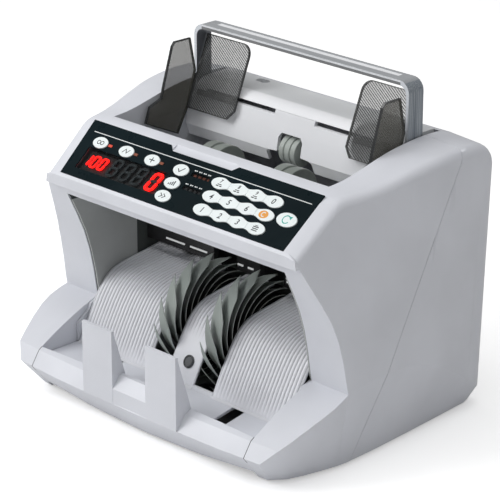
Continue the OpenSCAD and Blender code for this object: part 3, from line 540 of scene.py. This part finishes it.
for node in ("front_housing", "rear_cover"):
    dress_cover(node)
dress("top_cover", bevel=0.4)
dress("hopper_plate", MAT["hopper"], bevel=0.5)
dress("note_tray", angle=22)
dress("note_stops", bevel=0.7, angle=24, segments=3)
for node in ("base_pan", "bay_liner", "inner_shroud", "side_frames", "bearings", "main_board",
             "power_supply", "power_inlet", "rear_screws", "sensor_lens", "separator",
             "drive_belts", "motor", "motor_pulley", "stacker_shaft", "feed_shaft",
             "kicker_shaft", "carriage_left", "carriage_right", "power_rocker", "gap_screw",
             "feet"):
    dress(node, bevel=0.25)
dress("control_board", MAT["black"], bevel=0.25)
for node in ("display_window", "status_lamps"):
    dress(node, bevel=0.1)
dress("panel_overlay", bevel=0.12)
dress("feed_rollers", bevel=0.9, segments=3)
dress("kicker_roller", MAT["kicker"], bevel=0.7, segments=3)
dress("handle_bail", bevel=0.45, segments=3)
for node in ("guide_left", "guide_right"):
    dress(node, bevel=0)
for key in KEYS:
    dress(key, bevel=0.22 if key in KEYPAD else 0.4, angle=35)


# ------------------------------------------------------------------ solids and outlines
# A solid is a pair of vertices and faces
def add_mesh(name, solids, material, body, smooth=True, bevel=0):
    verts, faces = [], []
    for part_verts, part_faces in solids:
        start = len(verts)
        verts += part_verts
        faces += [[start + i for i in face] for face in part_faces]
    mesh = bpy.data.meshes.new(name)
    mesh.from_pydata([tuple(v) for v in verts], [], faces)
    bm = bmesh.new()
    bm.from_mesh(mesh)
    bmesh.ops.remove_doubles(bm, verts=bm.verts, dist=1e-7)
    bmesh.ops.recalc_face_normals(bm, faces=bm.faces)
    bm.to_mesh(mesh)
    bm.free()
    mesh.polygons.foreach_set("use_smooth", [smooth] * len(mesh.polygons))
    mesh.materials.append(material)
    obj = bpy.data.objects.new(name, mesh)
    COL.objects.link(obj)
    if bevel:
        add_bevel(obj, bevel, angle=28, segments=2)
    if smooth:
        obj.modifiers.new("wn", "WEIGHTED_NORMAL").keep_sharp = True
    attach(obj, body)
    return obj


def prism(outline, low, high, place):
    """Closed prism over a 2D outline, put in space by place(a, b, height)."""
    n = len(outline)
    verts = [place(a, b, height) for height in (low, high) for a, b in outline]
    faces = [list(range(n))[::-1], list(range(n, 2 * n))]
    faces += [[i, (i + 1) % n, n + (i + 1) % n, n + i] for i in range(n)]
    return verts, faces


def loft_faces(size, count, closed=False):
    """Faces through `count` rings of `size` points, capped unless the rings close on themselves."""
    faces = []
    for k in range(count if closed else count - 1):
        here, there = k * size, (k + 1) % count * size
        for i in range(size):
            j = (i + 1) % size
            faces.append([here + i, here + j, there + j, there + i])
    if not closed:
        faces.append(list(range(size))[::-1])
        faces.append([(count - 1) * size + i for i in range(size)])
    return faces


def from_side(y, z, x):
    return Vector((x * MM, y * MM, z * MM))


def from_bay_side(y, z, x):
    return from_side(y + BAY_Y, z, x)


def rect(x0, y0, x1, y1):
    return [(x0, y0), (x1, y0), (x1, y1), (x0, y1)]


def ellipse(radius_x, radius_y, count):
    angles = [2 * math.pi * i / count for i in range(count)]
    return [(radius_x * math.cos(a), radius_y * math.sin(a)) for a in angles]


def arc(x, radius, start, end, width, steps=18):
    """Band along an arc centred at (x, 0); angles in degrees."""
    angles = [math.radians(start + (end - start) * i / steps) for i in range(steps + 1)]
    outer, inner = ([(x + r * math.cos(a), r * math.sin(a)) for a in angles]
                    for r in (radius + width / 2, radius - width / 2))
    return outer + inner[::-1]


def stroke(points, width):
    """A polyline as a chain of thin quads."""
    quads = []
    for a, b in zip(points, points[1:]):
        a, b = Vector(a), Vector(b)
        along = (b - a).normalized()
        side = Vector((-along.y, along.x)) * width / 2
        end = along * width / 2
        quads.append([tuple(p) for p in (a - end + side, a - end - side,
                                         b + end - side, b + end + side)])
    return quads


def shifted(outline, dx, dy):
    return [(x + dx, y + dy) for x, y in outline]


# ------------------------------------------------------------------ panel frame
# Taken from a key's travel and the overlay: N points out of the film, U up the slope
N = -Vector(joint("key_5_press")["axis"]).normalized()
U = Vector((0, N.z, -N.y))
OVERLAY = [v.co for v in NODES["panel_overlay"].data.vertices]
PANEL_FOOT = min(v.dot(U) for v in OVERLAY)
FILM_TOP = max(v.dot(N) for v in OVERLAY)


def on_panel(x, s, h):
    """Point x across, s up the slope and h above the film."""
    return Vector((x * MM, 0, 0)) + U * (PANEL_FOOT + s * MM) + N * (FILM_TOP + h * MM)


def key_place(key):
    """Centre of a key's top face in panel coordinates."""
    points = [v.co for v in NODES[key].data.vertices]
    top = max(v.dot(N) for v in points)
    face = [v for v in points if v.dot(N) > top - 1e-5]
    s = [v.dot(U) for v in face]
    x = [v.x for v in face]
    return ((min(x) + max(x)) / 2 / MM, ((min(s) + max(s)) / 2 - PANEL_FOOT) / MM,
            (top - FILM_TOP) / MM)


# ------------------------------------------------------------------ legends on the keys
LEGEND_SINK = 0.03          # below the key's top
LEGEND_RISE = 0.03          # above the key's top
CLEAR_DISC_RISE = 0.012
CLEAR_SHIFT = -1.0          # the clear key's symbol sits left of centre
DIGIT_SIZE = 6.0
SMALL_DIGIT_SIZE = 3.9
SMALL_DIGIT_RAISE = 1.7
# bars under the small digits
DIGIT_BARS = [rect(-2.9, -2.7, -0.4, -1.9), rect(0.4, -2.7, 2.5, -1.9),
              rect(-2.1, -1.3, 1.9, -0.7)]

# Outlines about the key's centre, by kind of key
ICONS = {
    **dict.fromkeys("789", DIGIT_BARS),
    "clear": [arc(0, radius=1.7, start=50, end=310, width=0.8)],
    "restart": [arc(-0.2, radius=3.1, start=40, end=330, width=0.8),
                [(0.9, 2.6), (3.9, 3.4), (3.0, 0.4)]],
    "batch": [rect(-2.6, y, 2.6, y + 0.75) for y in (-2.2, -0.75, 0.7)]
             + [rect(-1.4, 1.9, 1.4, 2.4)],
    "mode_a": [arc(x, radius=1.5, start=0, end=355, width=0.6) for x in (-1.5, 1.9)],
    "mode_b": stroke([(-3, -1.5), (-1, 1.6), (1, -1.5), (3, 1.6)], width=0.6),
    "mode_c": [rect(-2.6, -0.4, 2.6, 0.4), rect(-0.4, -2.2, 0.4, -0.4),
               rect(-0.4, 0.4, 0.4, 2.2)],
    "check": stroke([(-2.6, 0.2), (-0.6, -1.8), (2.8, 1.8)], width=0.75),
    "level": [rect(-3 + i * 1.7, -1.8, -2 + i * 1.7, -0.6 + i * 0.9) for i in range(4)],
    "speed": stroke([(-2.8, 1.6), (-0.6, 0), (-2.8, -1.6)], width=0.65)
             + stroke([(0.2, 1.6), (2.4, 0), (0.2, -1.6)], width=0.65),
}
INKS = {"clear": "ink_white", "restart": "ink_teal"}


def digit_faces(digit, size):
    """Flat faces of a slanted, slightly bold digit, centred on the origin."""
    text = bpy.data.curves.new("digit", "FONT")
    text.body = digit
    text.size = size
    text.align_x = "CENTER"
    text.align_y = "CENTER"
    text.shear = 0.18
    text.offset = 0.1
    obj = bpy.data.objects.new("digit", text)
    COL.objects.link(obj)
    depsgraph = bpy.context.evaluated_depsgraph_get()
    mesh = bpy.data.meshes.new_from_object(obj.evaluated_get(depsgraph))
    points = [(v.co.x, v.co.y) for v in mesh.vertices]
    faces = [list(p.vertices) for p in mesh.polygons]
    bpy.data.objects.remove(obj)
    bpy.data.curves.remove(text)
    bpy.data.meshes.remove(mesh)
    xs, ys = zip(*points)
    return shifted(points, -(min(xs) + max(xs)) / 2, -(min(ys) + max(ys)) / 2), faces


def digit_plate(digit, size, x, s, low, high):
    """A digit as a thin closed plate on the panel."""
    points, flat = digit_faces(digit, size)
    n = len(points)
    verts = [on_panel(x + a, s + b, h) for h in (low, high) for a, b in points]
    faces = [face[::-1] for face in flat] + [[n + i for i in face] for face in flat]
    # an edge met once, in one direction only, is on the rim and gets a wall
    rim = {}
    for face in flat:
        for a, b in zip(face, face[1:] + face[:1]):
            if (b, a) in rim:
                del rim[(b, a)]
            else:
                rim[(a, b)] = True
    faces += [[a, b, n + b, n + a] for a, b in rim]
    return verts, faces


def add_legend(key):
    kind = key[len("key_"):]
    x, s, top = key_place(key)
    low, high = top - LEGEND_SINK, top + LEGEND_RISE
    if kind == "clear":
        x += CLEAR_SHIFT
    solids = []
    if kind.isdigit():
        small = kind in "789"
        size = SMALL_DIGIT_SIZE if small else DIGIT_SIZE
        raised = SMALL_DIGIT_RAISE if small else 0
        solids.append(digit_plate(kind, size, x, s + raised, low, high))
    # a key without a symbol still gets its (empty) legend
    solids += [prism(shifted(o, x, s), low, high, on_panel) for o in ICONS.get(kind, [])]
    ink = MAT[INKS.get(kind, "ink")]
    add_mesh("legend_" + kind, solids, ink, key, smooth=False)
    if kind == "clear":
        oval = shifted(ellipse(4.2, 3.1, count=36), x, s)
        disc = prism(oval, low, top + CLEAR_DISC_RISE, on_panel)
        add_mesh("disc_clear", [disc], MAT["ink_orange"], key, smooth=False)


for key in KEYS:
    add_legend(key)


# ------------------------------------------------------------------ marks on the film
def add_film_marks():
    """A long line across the panel and two rows of small paired marks."""
    outlines = [rect(-109, 39.0, 111, 39.6)]
    for x in (1.8, 6.3, 10.8, 15.3):
        for s in (34.7, 23.0):
            outlines.append(rect(x - 1.5, s, x - 0.2, s + 0.9))
            outlines.append(rect(x + 0.2, s + 0.1, x + 1.3, s + 0.9))
    solids = [prism(outline, -0.02, 0.03, on_panel) for outline in outlines]
    add_mesh("film_marks", solids, MAT["ink_white"], "chassis", smooth=False)


add_film_marks()

# ------------------------------------------------------------------ seven-segment digits
# Segment centre in half widths and half heights; those with x = 0 lie flat
SEGMENTS = {"a": (0, 1), "b": (1, .5), "c": (1, -.5), "d": (0, -1),
            "e": (-1, -.5), "f": (-1, .5), "g": (0, 0)}
SEGMENT_GAP = 0.12
DIGIT_SLANT = 0.16
SEGMENT_LOW, SEGMENT_HIGH = -2.5, -1.35         # heights from the film, below it
SMALL = dict(s=17.0, height=10.6, bar=1.3)
LARGE = dict(s=17.3, height=16.0, bar=2.1, width=9.2)


def seven(x, shown, s, width, height, bar):
    """The shown segments of one digit centred at (x, s), as pointed bars."""
    solids = []
    for name in shown:
        side, up = SEGMENTS[name]
        cx, cy = side * (width - bar) / 2, up * (height - bar) / 2
        half = ((width - bar) / 2 if side == 0 else (height - bar) / 4) - SEGMENT_GAP
        q = bar / 2
        outline = [(-half, 0), (-half + q, -q), (half - q, -q),
                   (half, 0), (half - q, q), (-half + q, q)]
        if side:
            outline = [(-b, a) for a, b in outline]
        outline = shifted(outline, cx, cy)
        outline = [(x + a + b * DIGIT_SLANT, s + b) for a, b in outline]
        solids.append(prism(outline, SEGMENT_LOW, SEGMENT_HIGH, on_panel))
    return solids


def add_digits():
    """Lit: "100" in small digits and "0" in the last large place; the rest is unlit."""
    lit = seven(-98.6, "bc", width=5.4, **SMALL)
    for x in (-91.0, -82.9):
        lit += seven(x, "abcdef", width=6.1, **SMALL)
    last_x = -28.9
    lit += seven(last_x, "abcdef", **LARGE)
    segments = add_mesh("digit_segments", lit, MAT["digit_on"], "chassis",
                        smooth=False)
    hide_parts("digits_lit")
    unlit = []
    for x in (-69.6, -56.6, -43.6):
        unlit += seven(x, "abcdefg", **LARGE)
    unlit += seven(last_x, "g", **LARGE)
    add_mesh("digit_segments_unlit", unlit, MAT["digit_off"], "chassis",
             smooth=False)


add_digits()

# ------------------------------------------------------------------ ribbed stacking plate
# (y, z) down the plate's curve, from its front foot up to the back
PLATE_CURVE = [(-57.6, 29.2), (-53, 38), (-48, 47.4), (-43, 56), (-37.4, 65), (-31.5, 72.4),
               (-23.5, 78.3), (-14, 81.3), (-3, 83), (10, 84.6), (26, 87)]
# Distances from the curve of the rib tops, the ground between them, and the plate's back
RIB_TOP, RIB_GROUND, PLATE_BACK = 0.62, -0.1, -2.0
SIDE_FADE_STEPS = 5         # curve steps over which the side strips' ribs rise
# One rib: (place in the pitch, share of the full rise)
RIB = ((0.0, 0), (0.10, 0.72), (0.2, 1.0), (0.62, 1.0), (0.72, 0.72), (0.82, 0))
# (y, z) of the lips along the foot, under the gaps and under the strips
GAP_LIP = [(-57.9, 29.06), (-55.6, 29.06), (-54.6, 31.6), (-56.8, 31.6)]
STRIP_LIP = [(-59.4, 29.03), (-57.2, 29.03), (-56.6, 30.6), (-57.75, 30.0), (-58.4, 29.35)]
LIP_LAP = 0.2               # the gap lips reach this far under the strips


def catmull_rom(points, steps):
    out = []
    for i in range(len(points) - 1):
        a, b, c, d = (Vector(points[min(max(i + k, 0), len(points) - 1)])
                      for k in (-1, 0, 1, 2))
        for k in range(steps):
            t = k / steps
            out.append(0.5 * (2 * b + (c - a) * t + (2 * a - 5 * b + 4 * c - d) * t * t
                              + (3 * b - a - 3 * c + d) * t ** 3))
    out.append(Vector(points[-1]))
    return out


def offset(path, distance):
    out = []
    for i, point in enumerate(path):
        along = (path[min(i + 1, len(path) - 1)] - path[max(i - 1, 0)]).normalized()
        out.append(point + Vector((-along.y, along.x)) * distance)
    return out


PLATE_PATH = catmull_rom([(y + BAY_Y, z) for y, z in PLATE_CURVE], steps=4)


def rib_fade(step, middle):
    if middle:
        start, full = RIB_FADE_Z
        return min(1.0, max(0.0, (PLATE_PATH[step].y - start) / (full - start)))
    return min(1.0, (step + 0.5) / SIDE_FADE_STEPS)


def plate_strip(x0, x1):
    """One band of the plate from x0 to x1, ribbed on its front, with its own back and sides."""
    count, margin = rib_layout(x1 - x0)
    section = [(x0, 0.0)]
    for i in range(count):
        start = x0 + margin + i * RIB_PITCH
        section += [(start + place * RIB_PITCH, rise) for place, rise in RIB]
    section.append((x1, 0.0))
    ground, tops, back = (offset(PLATE_PATH, d) for d in (RIB_GROUND, RIB_TOP, PLATE_BACK))
    verts = []
    for k in range(len(PLATE_PATH)):
        fade = rib_fade(k, middle=x0 < 0 < x1)
        for x, rise in section:
            point = ground[k].lerp(tops[k], rise * fade)
            verts.append(from_side(point.x, point.y, x))
        for x in (x1, x0):
            verts.append(from_side(back[k].x, back[k].y, x))
    return verts, loft_faces(len(section) + 2, len(PLATE_PATH))


def add_stacker_plate():
    strips = [(-PLATE_HALF, -SIDE_INNER), (SIDE_INNER, PLATE_HALF), (-MIDDLE_HALF, MIDDLE_HALF)]
    plate = add_mesh("stacker_plate_ribbed", [plate_strip(x0, x1) for x0, x1 in strips],
                     MAT["ribbed"], "chassis")
    outer, inner = SIDE_INNER + LIP_LAP, MIDDLE_HALF - LIP_LAP
    lips = [(GAP_LIP, -outer, -inner), (GAP_LIP, inner, outer), (STRIP_LIP, -PLATE_HALF, -outer),
            (STRIP_LIP, outer, PLATE_HALF), (STRIP_LIP, -inner, inner)]
    add_mesh("stacker_plate_foot", [prism(*lip, from_bay_side) for lip in lips],
             MAT["plate"], "chassis", bevel=0.2)
    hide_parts("stacker_plate")


add_stacker_plate()

# ------------------------------------------------------------------ bladed wheels
BLADES = 15
BLADE_START = 73.5          # angle of the first blade's tip, degrees
BLADE_SPAN = 142.0          # angle a blade sweeps from tip to root
BLADE_WIND = 26.0           # how far a blade twists across the wheel's width
BLADE_ROOT = 15.0           # radius
BLADE_STEPS = 46
BLADE_CORNER = 0.25
WIDTH_STEPS = 6
HUB_SEGMENTS = 64
# Hub end with its collar: (distance in from the end, radius)
HUB_END = [(0, 4.1), (0, 10), (1, 10.6), (1.2, 15.6), (1.8, 16.2)]


def around_axle(x, radius, angle):
    return from_side(AXLE_Y + radius * math.cos(angle), AXLE_Z + radius * math.sin(angle), x)


def blade_thickness(u):
    """From half at the tip to full 20 degrees on, with an extra 0.9 gained over the last fifth."""
    return 0.95 * min(1, 0.5 + BLADE_SPAN * u / 40) + 0.9 * max(0, u - 0.8) * 5


def blade(x0, x1, tip_radius, start):
    width = x1 - x0
    run = [x0 + BLADE_CORNER + (width - 2 * BLADE_CORNER) * i / WIDTH_STEPS
           for i in range(WIDTH_STEPS + 1)]
    # (x, share of the thickness in from the outer face), softened at both side edges
    section = ([(x, 0.0) for x in run] + [(x1, 0.34), (x1, 0.66)]
               + [(x, 1.0) for x in run[::-1]] + [(x0, 0.66), (x0, 0.34)])
    verts = []
    for k in range(BLADE_STEPS + 1):
        u = k / BLADE_STEPS
        radius = tip_radius - (tip_radius - BLADE_ROOT) * u
        thickness = blade_thickness(u)
        for x, depth in section:
            angle = math.radians(start + BLADE_SPAN * u + BLADE_WIND * (x - x0) / width)
            verts.append(around_axle(x, radius - thickness * depth, angle))
    return verts, loft_faces(len(section), BLADE_STEPS + 1)


def hub(x0, x1):
    profile = [(x0 + d, r) for d, r in HUB_END] + [(x1 - d, r) for d, r in HUB_END[::-1]]
    verts = [around_axle(x, r, 2 * math.pi * k / HUB_SEGMENTS)
             for k in range(HUB_SEGMENTS) for x, r in profile]
    return verts, loft_faces(len(profile), HUB_SEGMENTS, closed=True)


for side in ("left", "right"):
    lo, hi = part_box("stacker_wheel_" + side)
    x0, x1 = lo.x / MM, hi.x / MM
    tip_radius = (hi.z - lo.z) / 2 / MM
    solids = [blade(x0, x1, tip_radius, BLADE_START + i * 360 / BLADES) for i in range(BLADES)]
    wheel = add_mesh("blade_wheel_" + side, solids + [hub(x0, x1)], MAT["blade"],
                     "stacker")
    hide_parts("stacker_wheel_" + side)


# ------------------------------------------------------------------ small pieces of the bay
def add_liner_toe():
    """Toe of each side liner, up to the decks."""
    outline = [(-34.9, 59.7), (-40, 56.0), (-46.6, 51.4), (-44.4, 56.3), (-42, 57.3)]
    solids = [prism(outline, x0, x1, from_bay_side)
              for x0, x1 in ((108.95, 110.88), (-110.88, -108.95))]
    add_mesh("liner_toe", solids, MAT["cover"], "chassis", smooth=False)


def add_light_bars():
    """A broken row of light bars across the bay, white reflectors given a faint glow as painted light."""
    spans = ((-88, -68), (-62, -44), (-11.6, -6), (-1, 4.5), (38.5, 43.5), (51, 71), (81, 95))
    solids = [prism(rect(x0, 98.0, x1, 99.3), 14.1, 15.0,
                    lambda x, z, y: from_bay_side(y, z, x)) for x0, x1 in spans]
    add_mesh("bay_light_bars", solids, MAT["reflector"], "chassis", bevel=0.15)


add_liner_toe()
add_light_bars()

# ------------------------------------------------------------------ dark edges of the guides
GUIDE_THICK = 2.0
EDGE_WIDTH = 0.75
EDGE_PROUD = 0.03           # the edge pieces stand out of the sheet by this much
BACK_FOOT = (54.7, 195.5)   # (y, z) of the back plates' origin
# (x, height up the lean) of a back plate, closed by a rounded corner
BACK_OUTLINE = [(56.5, 1), (62.5, -6.2), (104.4, -6.2), (104.4, 20), (103.4, 24), (103.4, 52)]
BACK_OUTLINE += [(65.5 - 9 * math.sin(math.radians(a)), 43 + 9 * math.cos(math.radians(a)))
                 for a in range(0, 91, 15)]
# (y, z) of a side plate
SIDE_OUTLINE = [(41.3, 243.4), (57.6, 243.2), (62.9, 217), (54.5, 189.8), (43.7, 170.4),
                (10.5, 186), (15, 198.3), (27, 202.4), (29, 210), (38.6, 240.4)]


def inset(outline, distance):
    """Outline moved inwards by a distance, with mitred corners."""
    following = outline[1:] + outline[:1]
    area = sum(a[0] * b[1] - b[0] * a[1] for a, b in zip(outline, following))
    turn = 1 if area > 0 else -1
    out = []
    for i, after in enumerate(following):
        before, point, after = Vector(outline[i - 1]), Vector(outline[i]), Vector(after)
        d1, d2 = (point - before).normalized(), (after - point).normalized()
        n1, n2 = Vector((-d1.y, d1.x)) * turn, Vector((-d2.y, d2.x)) * turn
        mitre = (n1 + n2).normalized()
        out.append(point + mitre * (distance / max(0.3, mitre.dot(n1))))
    return out


def edge_frame(outline, place):
    """Closed frame around the rim of a guide plate."""
    n = len(outline)
    loops = (inset(outline, -EDGE_PROUD), inset(outline, EDGE_WIDTH))
    verts = [place(p.x, p.y, h) for h in (-EDGE_PROUD, GUIDE_THICK + EDGE_PROUD)
             for loop in loops for p in loop]
    faces = []
    for i in range(n):
        k = (i + 1) % n
        faces += [[i, k, n + k, n + i],
                  [2 * n + i, 3 * n + i, 3 * n + k, 2 * n + k],
                  [i, 2 * n + i, 2 * n + k, k],
                  [n + i, n + k, 3 * n + k, 3 * n + i]]
    return verts, faces


def add_guide_edges(node, sign):
    lo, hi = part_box(node)
    outer_x = (hi.x if sign > 0 else lo.x) / MM

    def on_back(x, up, h):
        y0, z0 = BACK_FOOT
        cos, sin = math.cos(GUIDE_LEAN), math.sin(GUIDE_LEAN)
        return from_bay_side(y0 + h * cos + up * sin, z0 - h * sin + up * cos, sign * x)

    def on_side(y, z, h):
        return from_bay_side(y, z, outer_x - sign * h)

    solids = [edge_frame(BACK_OUTLINE, on_back), edge_frame(SIDE_OUTLINE, on_side)]
    add_mesh("edge_" + node, solids, MAT["edge"], node, smooth=False)


add_guide_edges("guide_right", 1)
add_guide_edges("guide_left", -1)


# ------------------------------------------------------------------ bright band in the handle, near-white as painted reflection
def add_handle_band():
    half_length, y0, y1 = 90.9, 71.85, 76.15
    handle_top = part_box("handle_bail")[1].z / MM
    band = prism(rect(-half_length, y0, half_length, y1), handle_top - 0.55, handle_top - 0.05,
                 lambda x, y, z: from_bay_side(y, z, x))
    # the band's near-white is painted reflection
    add_mesh("handle_band", [band], MAT["bright"], "handle", bevel=0.15)


add_handle_band()


# ------------------------------------------------------------------ joint of tray lip and decks, its gap's shadow painted black
def hull(points):
    """Convex hull of 2D points."""
    points = sorted(set((round(a, 4), round(b, 4)) for a, b in points))
    out = []
    for run in (points, points[::-1]):
        half = []
        for p in run:
            while len(half) > 1:
                a, b = half[-2:]
                if (b[0] - a[0]) * (p[1] - a[1]) - (b[1] - a[1]) * (p[0] - a[0]) > 0:
                    break
                half.pop()
            half.append(p)
        out += half[:-1]
    return out


def add_tray_gap_painted_shadow():
    """Dark line around the tray's lip at both ends, painted shadow in the gap between lip and decks, grown
    from the lip's own side outline.
    """
    grow = 0.10
    lip = [(v.co.y / MM, v.co.z / MM) for v in NODES["note_tray"].data.vertices
           if v.co.x > 0.11055 and v.co.y / MM - BAY_Y < -91.9]
    # a tray whose lip stops short of this x has no outline to follow
    if len(lip) <= 2:
        return
    cy = sum(p[0] for p in lip) / len(lip)
    cz = sum(p[1] for p in lip) / len(lip)
    grown = []
    for y, z in hull(lip):
        outward = Vector((y - cy, z - cz)).normalized()
        grown.append((y + outward.x * grow, z + outward.y * grow))
    # black strips in the gap: painted shadow
    solids = [prism(grown, x0, x1, from_side) for x0, x1 in ((110.5, 110.95), (-110.95, -110.5))]
    add_mesh("tray_gap_painted_shadow", solids, MAT["black"], "chassis", smooth=False)


add_tray_gap_painted_shadow()


# ------------------------------------------------------------------ sensor face in its ring
def add_sensor_face():
    lo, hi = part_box("sensor_lens")
    tilt = math.radians(62)
    out = Vector((0, -math.sin(tilt), math.cos(tilt)))
    up = Vector((0, out.z, -out.y))
    centre = Vector(((lo + hi).x / 2, (-49.4 + BAY_Y) * MM, 44.6 * MM))

    def on_lens(a, b, h):
        return centre + Vector((a * MM, 0, 0)) + up * (b * MM) + out * (h * MM)

    face = prism(ellipse(3.3, 3.3, count=32), 0.45, 0.8, on_lens)
    add_mesh("sensor_face", [face], MAT["lens_face"], "chassis", smooth=False)


add_sensor_face()


# ------------------------------------------------------------------ floor, lights, camera
def add_floor():
    """Pale floor, with a glow that only the camera sees."""
    bpy.ops.mesh.primitive_plane_add(size=12, location=(0, 0, -0.0004))
    floor = bpy.context.object
    floor.name = "floor"
    m = Shader("floor_pale")
    m.set("Base Color", m.mix(m.remap(m.noise(scale=3)),
                              off=(0.90, 0.90, 0.90), on=(0.93, 0.93, 0.93)))
    m.set("Roughness", 0.9)
    m.set("Emission Color", (1, 1, 1, 1))
    camera_ray = m.node("ShaderNodeLightPath").outputs["Is Camera Ray"]
    camera_glow = 0.42
    m.set("Emission Strength", m.times(camera_ray, camera_glow))
    floor.data.materials.append(m.material)


def aim(obj, target):
    direction = Vector(target) - obj.location
    obj.rotation_euler = direction.to_track_quat("-Z", "Y").to_euler()


def add_area_light(name, location, size, power):
    light = bpy.data.lights.new(name, "AREA")
    light.energy = power
    light.size = size
    obj = bpy.data.objects.new(name, light)
    obj.location = location
    aim(obj, target=(0, 0, 0.1))
    COL.objects.link(obj)


def add_world():
    world = bpy.data.worlds.new("studio")
    bpy.context.scene.world = world
    world.use_nodes = True
    color, strength = world.node_tree.nodes["Background"].inputs[:2]
    color.default_value = (1, 1, 1, 1)
    strength.default_value = 0.34


def add_camera():
    """Long lens from the front right, looking slightly down."""
    azimuth, elevation = math.radians(44.8169), math.radians(21.2797)
    distance = 1.80864
    target = (0.014209, BAY_Y * MM, 0.121458)
    camera = bpy.data.cameras.new("cam")
    camera.sensor_width = 36
    camera.lens = 180.37944
    camera.shift_x = 0.002486
    camera.shift_y = -0.001922
    camera.clip_end = 20
    obj = bpy.data.objects.new("cam", camera)
    obj.location = (target[0] + distance * math.sin(azimuth) * math.cos(elevation),
                    target[1] - distance * math.cos(azimuth) * math.cos(elevation),
                    target[2] + distance * math.sin(elevation))
    aim(obj, target)
    COL.objects.link(obj)
    bpy.context.scene.camera = obj


add_floor()
add_area_light("key", location=(-1.3, -1.5, 1.5), size=1.3, power=27)
add_area_light("top", location=(0.0, -0.2, 1.9), size=1.4, power=13)
add_world()
add_camera()
bpy.context.scene.view_settings.view_transform = "Standard"
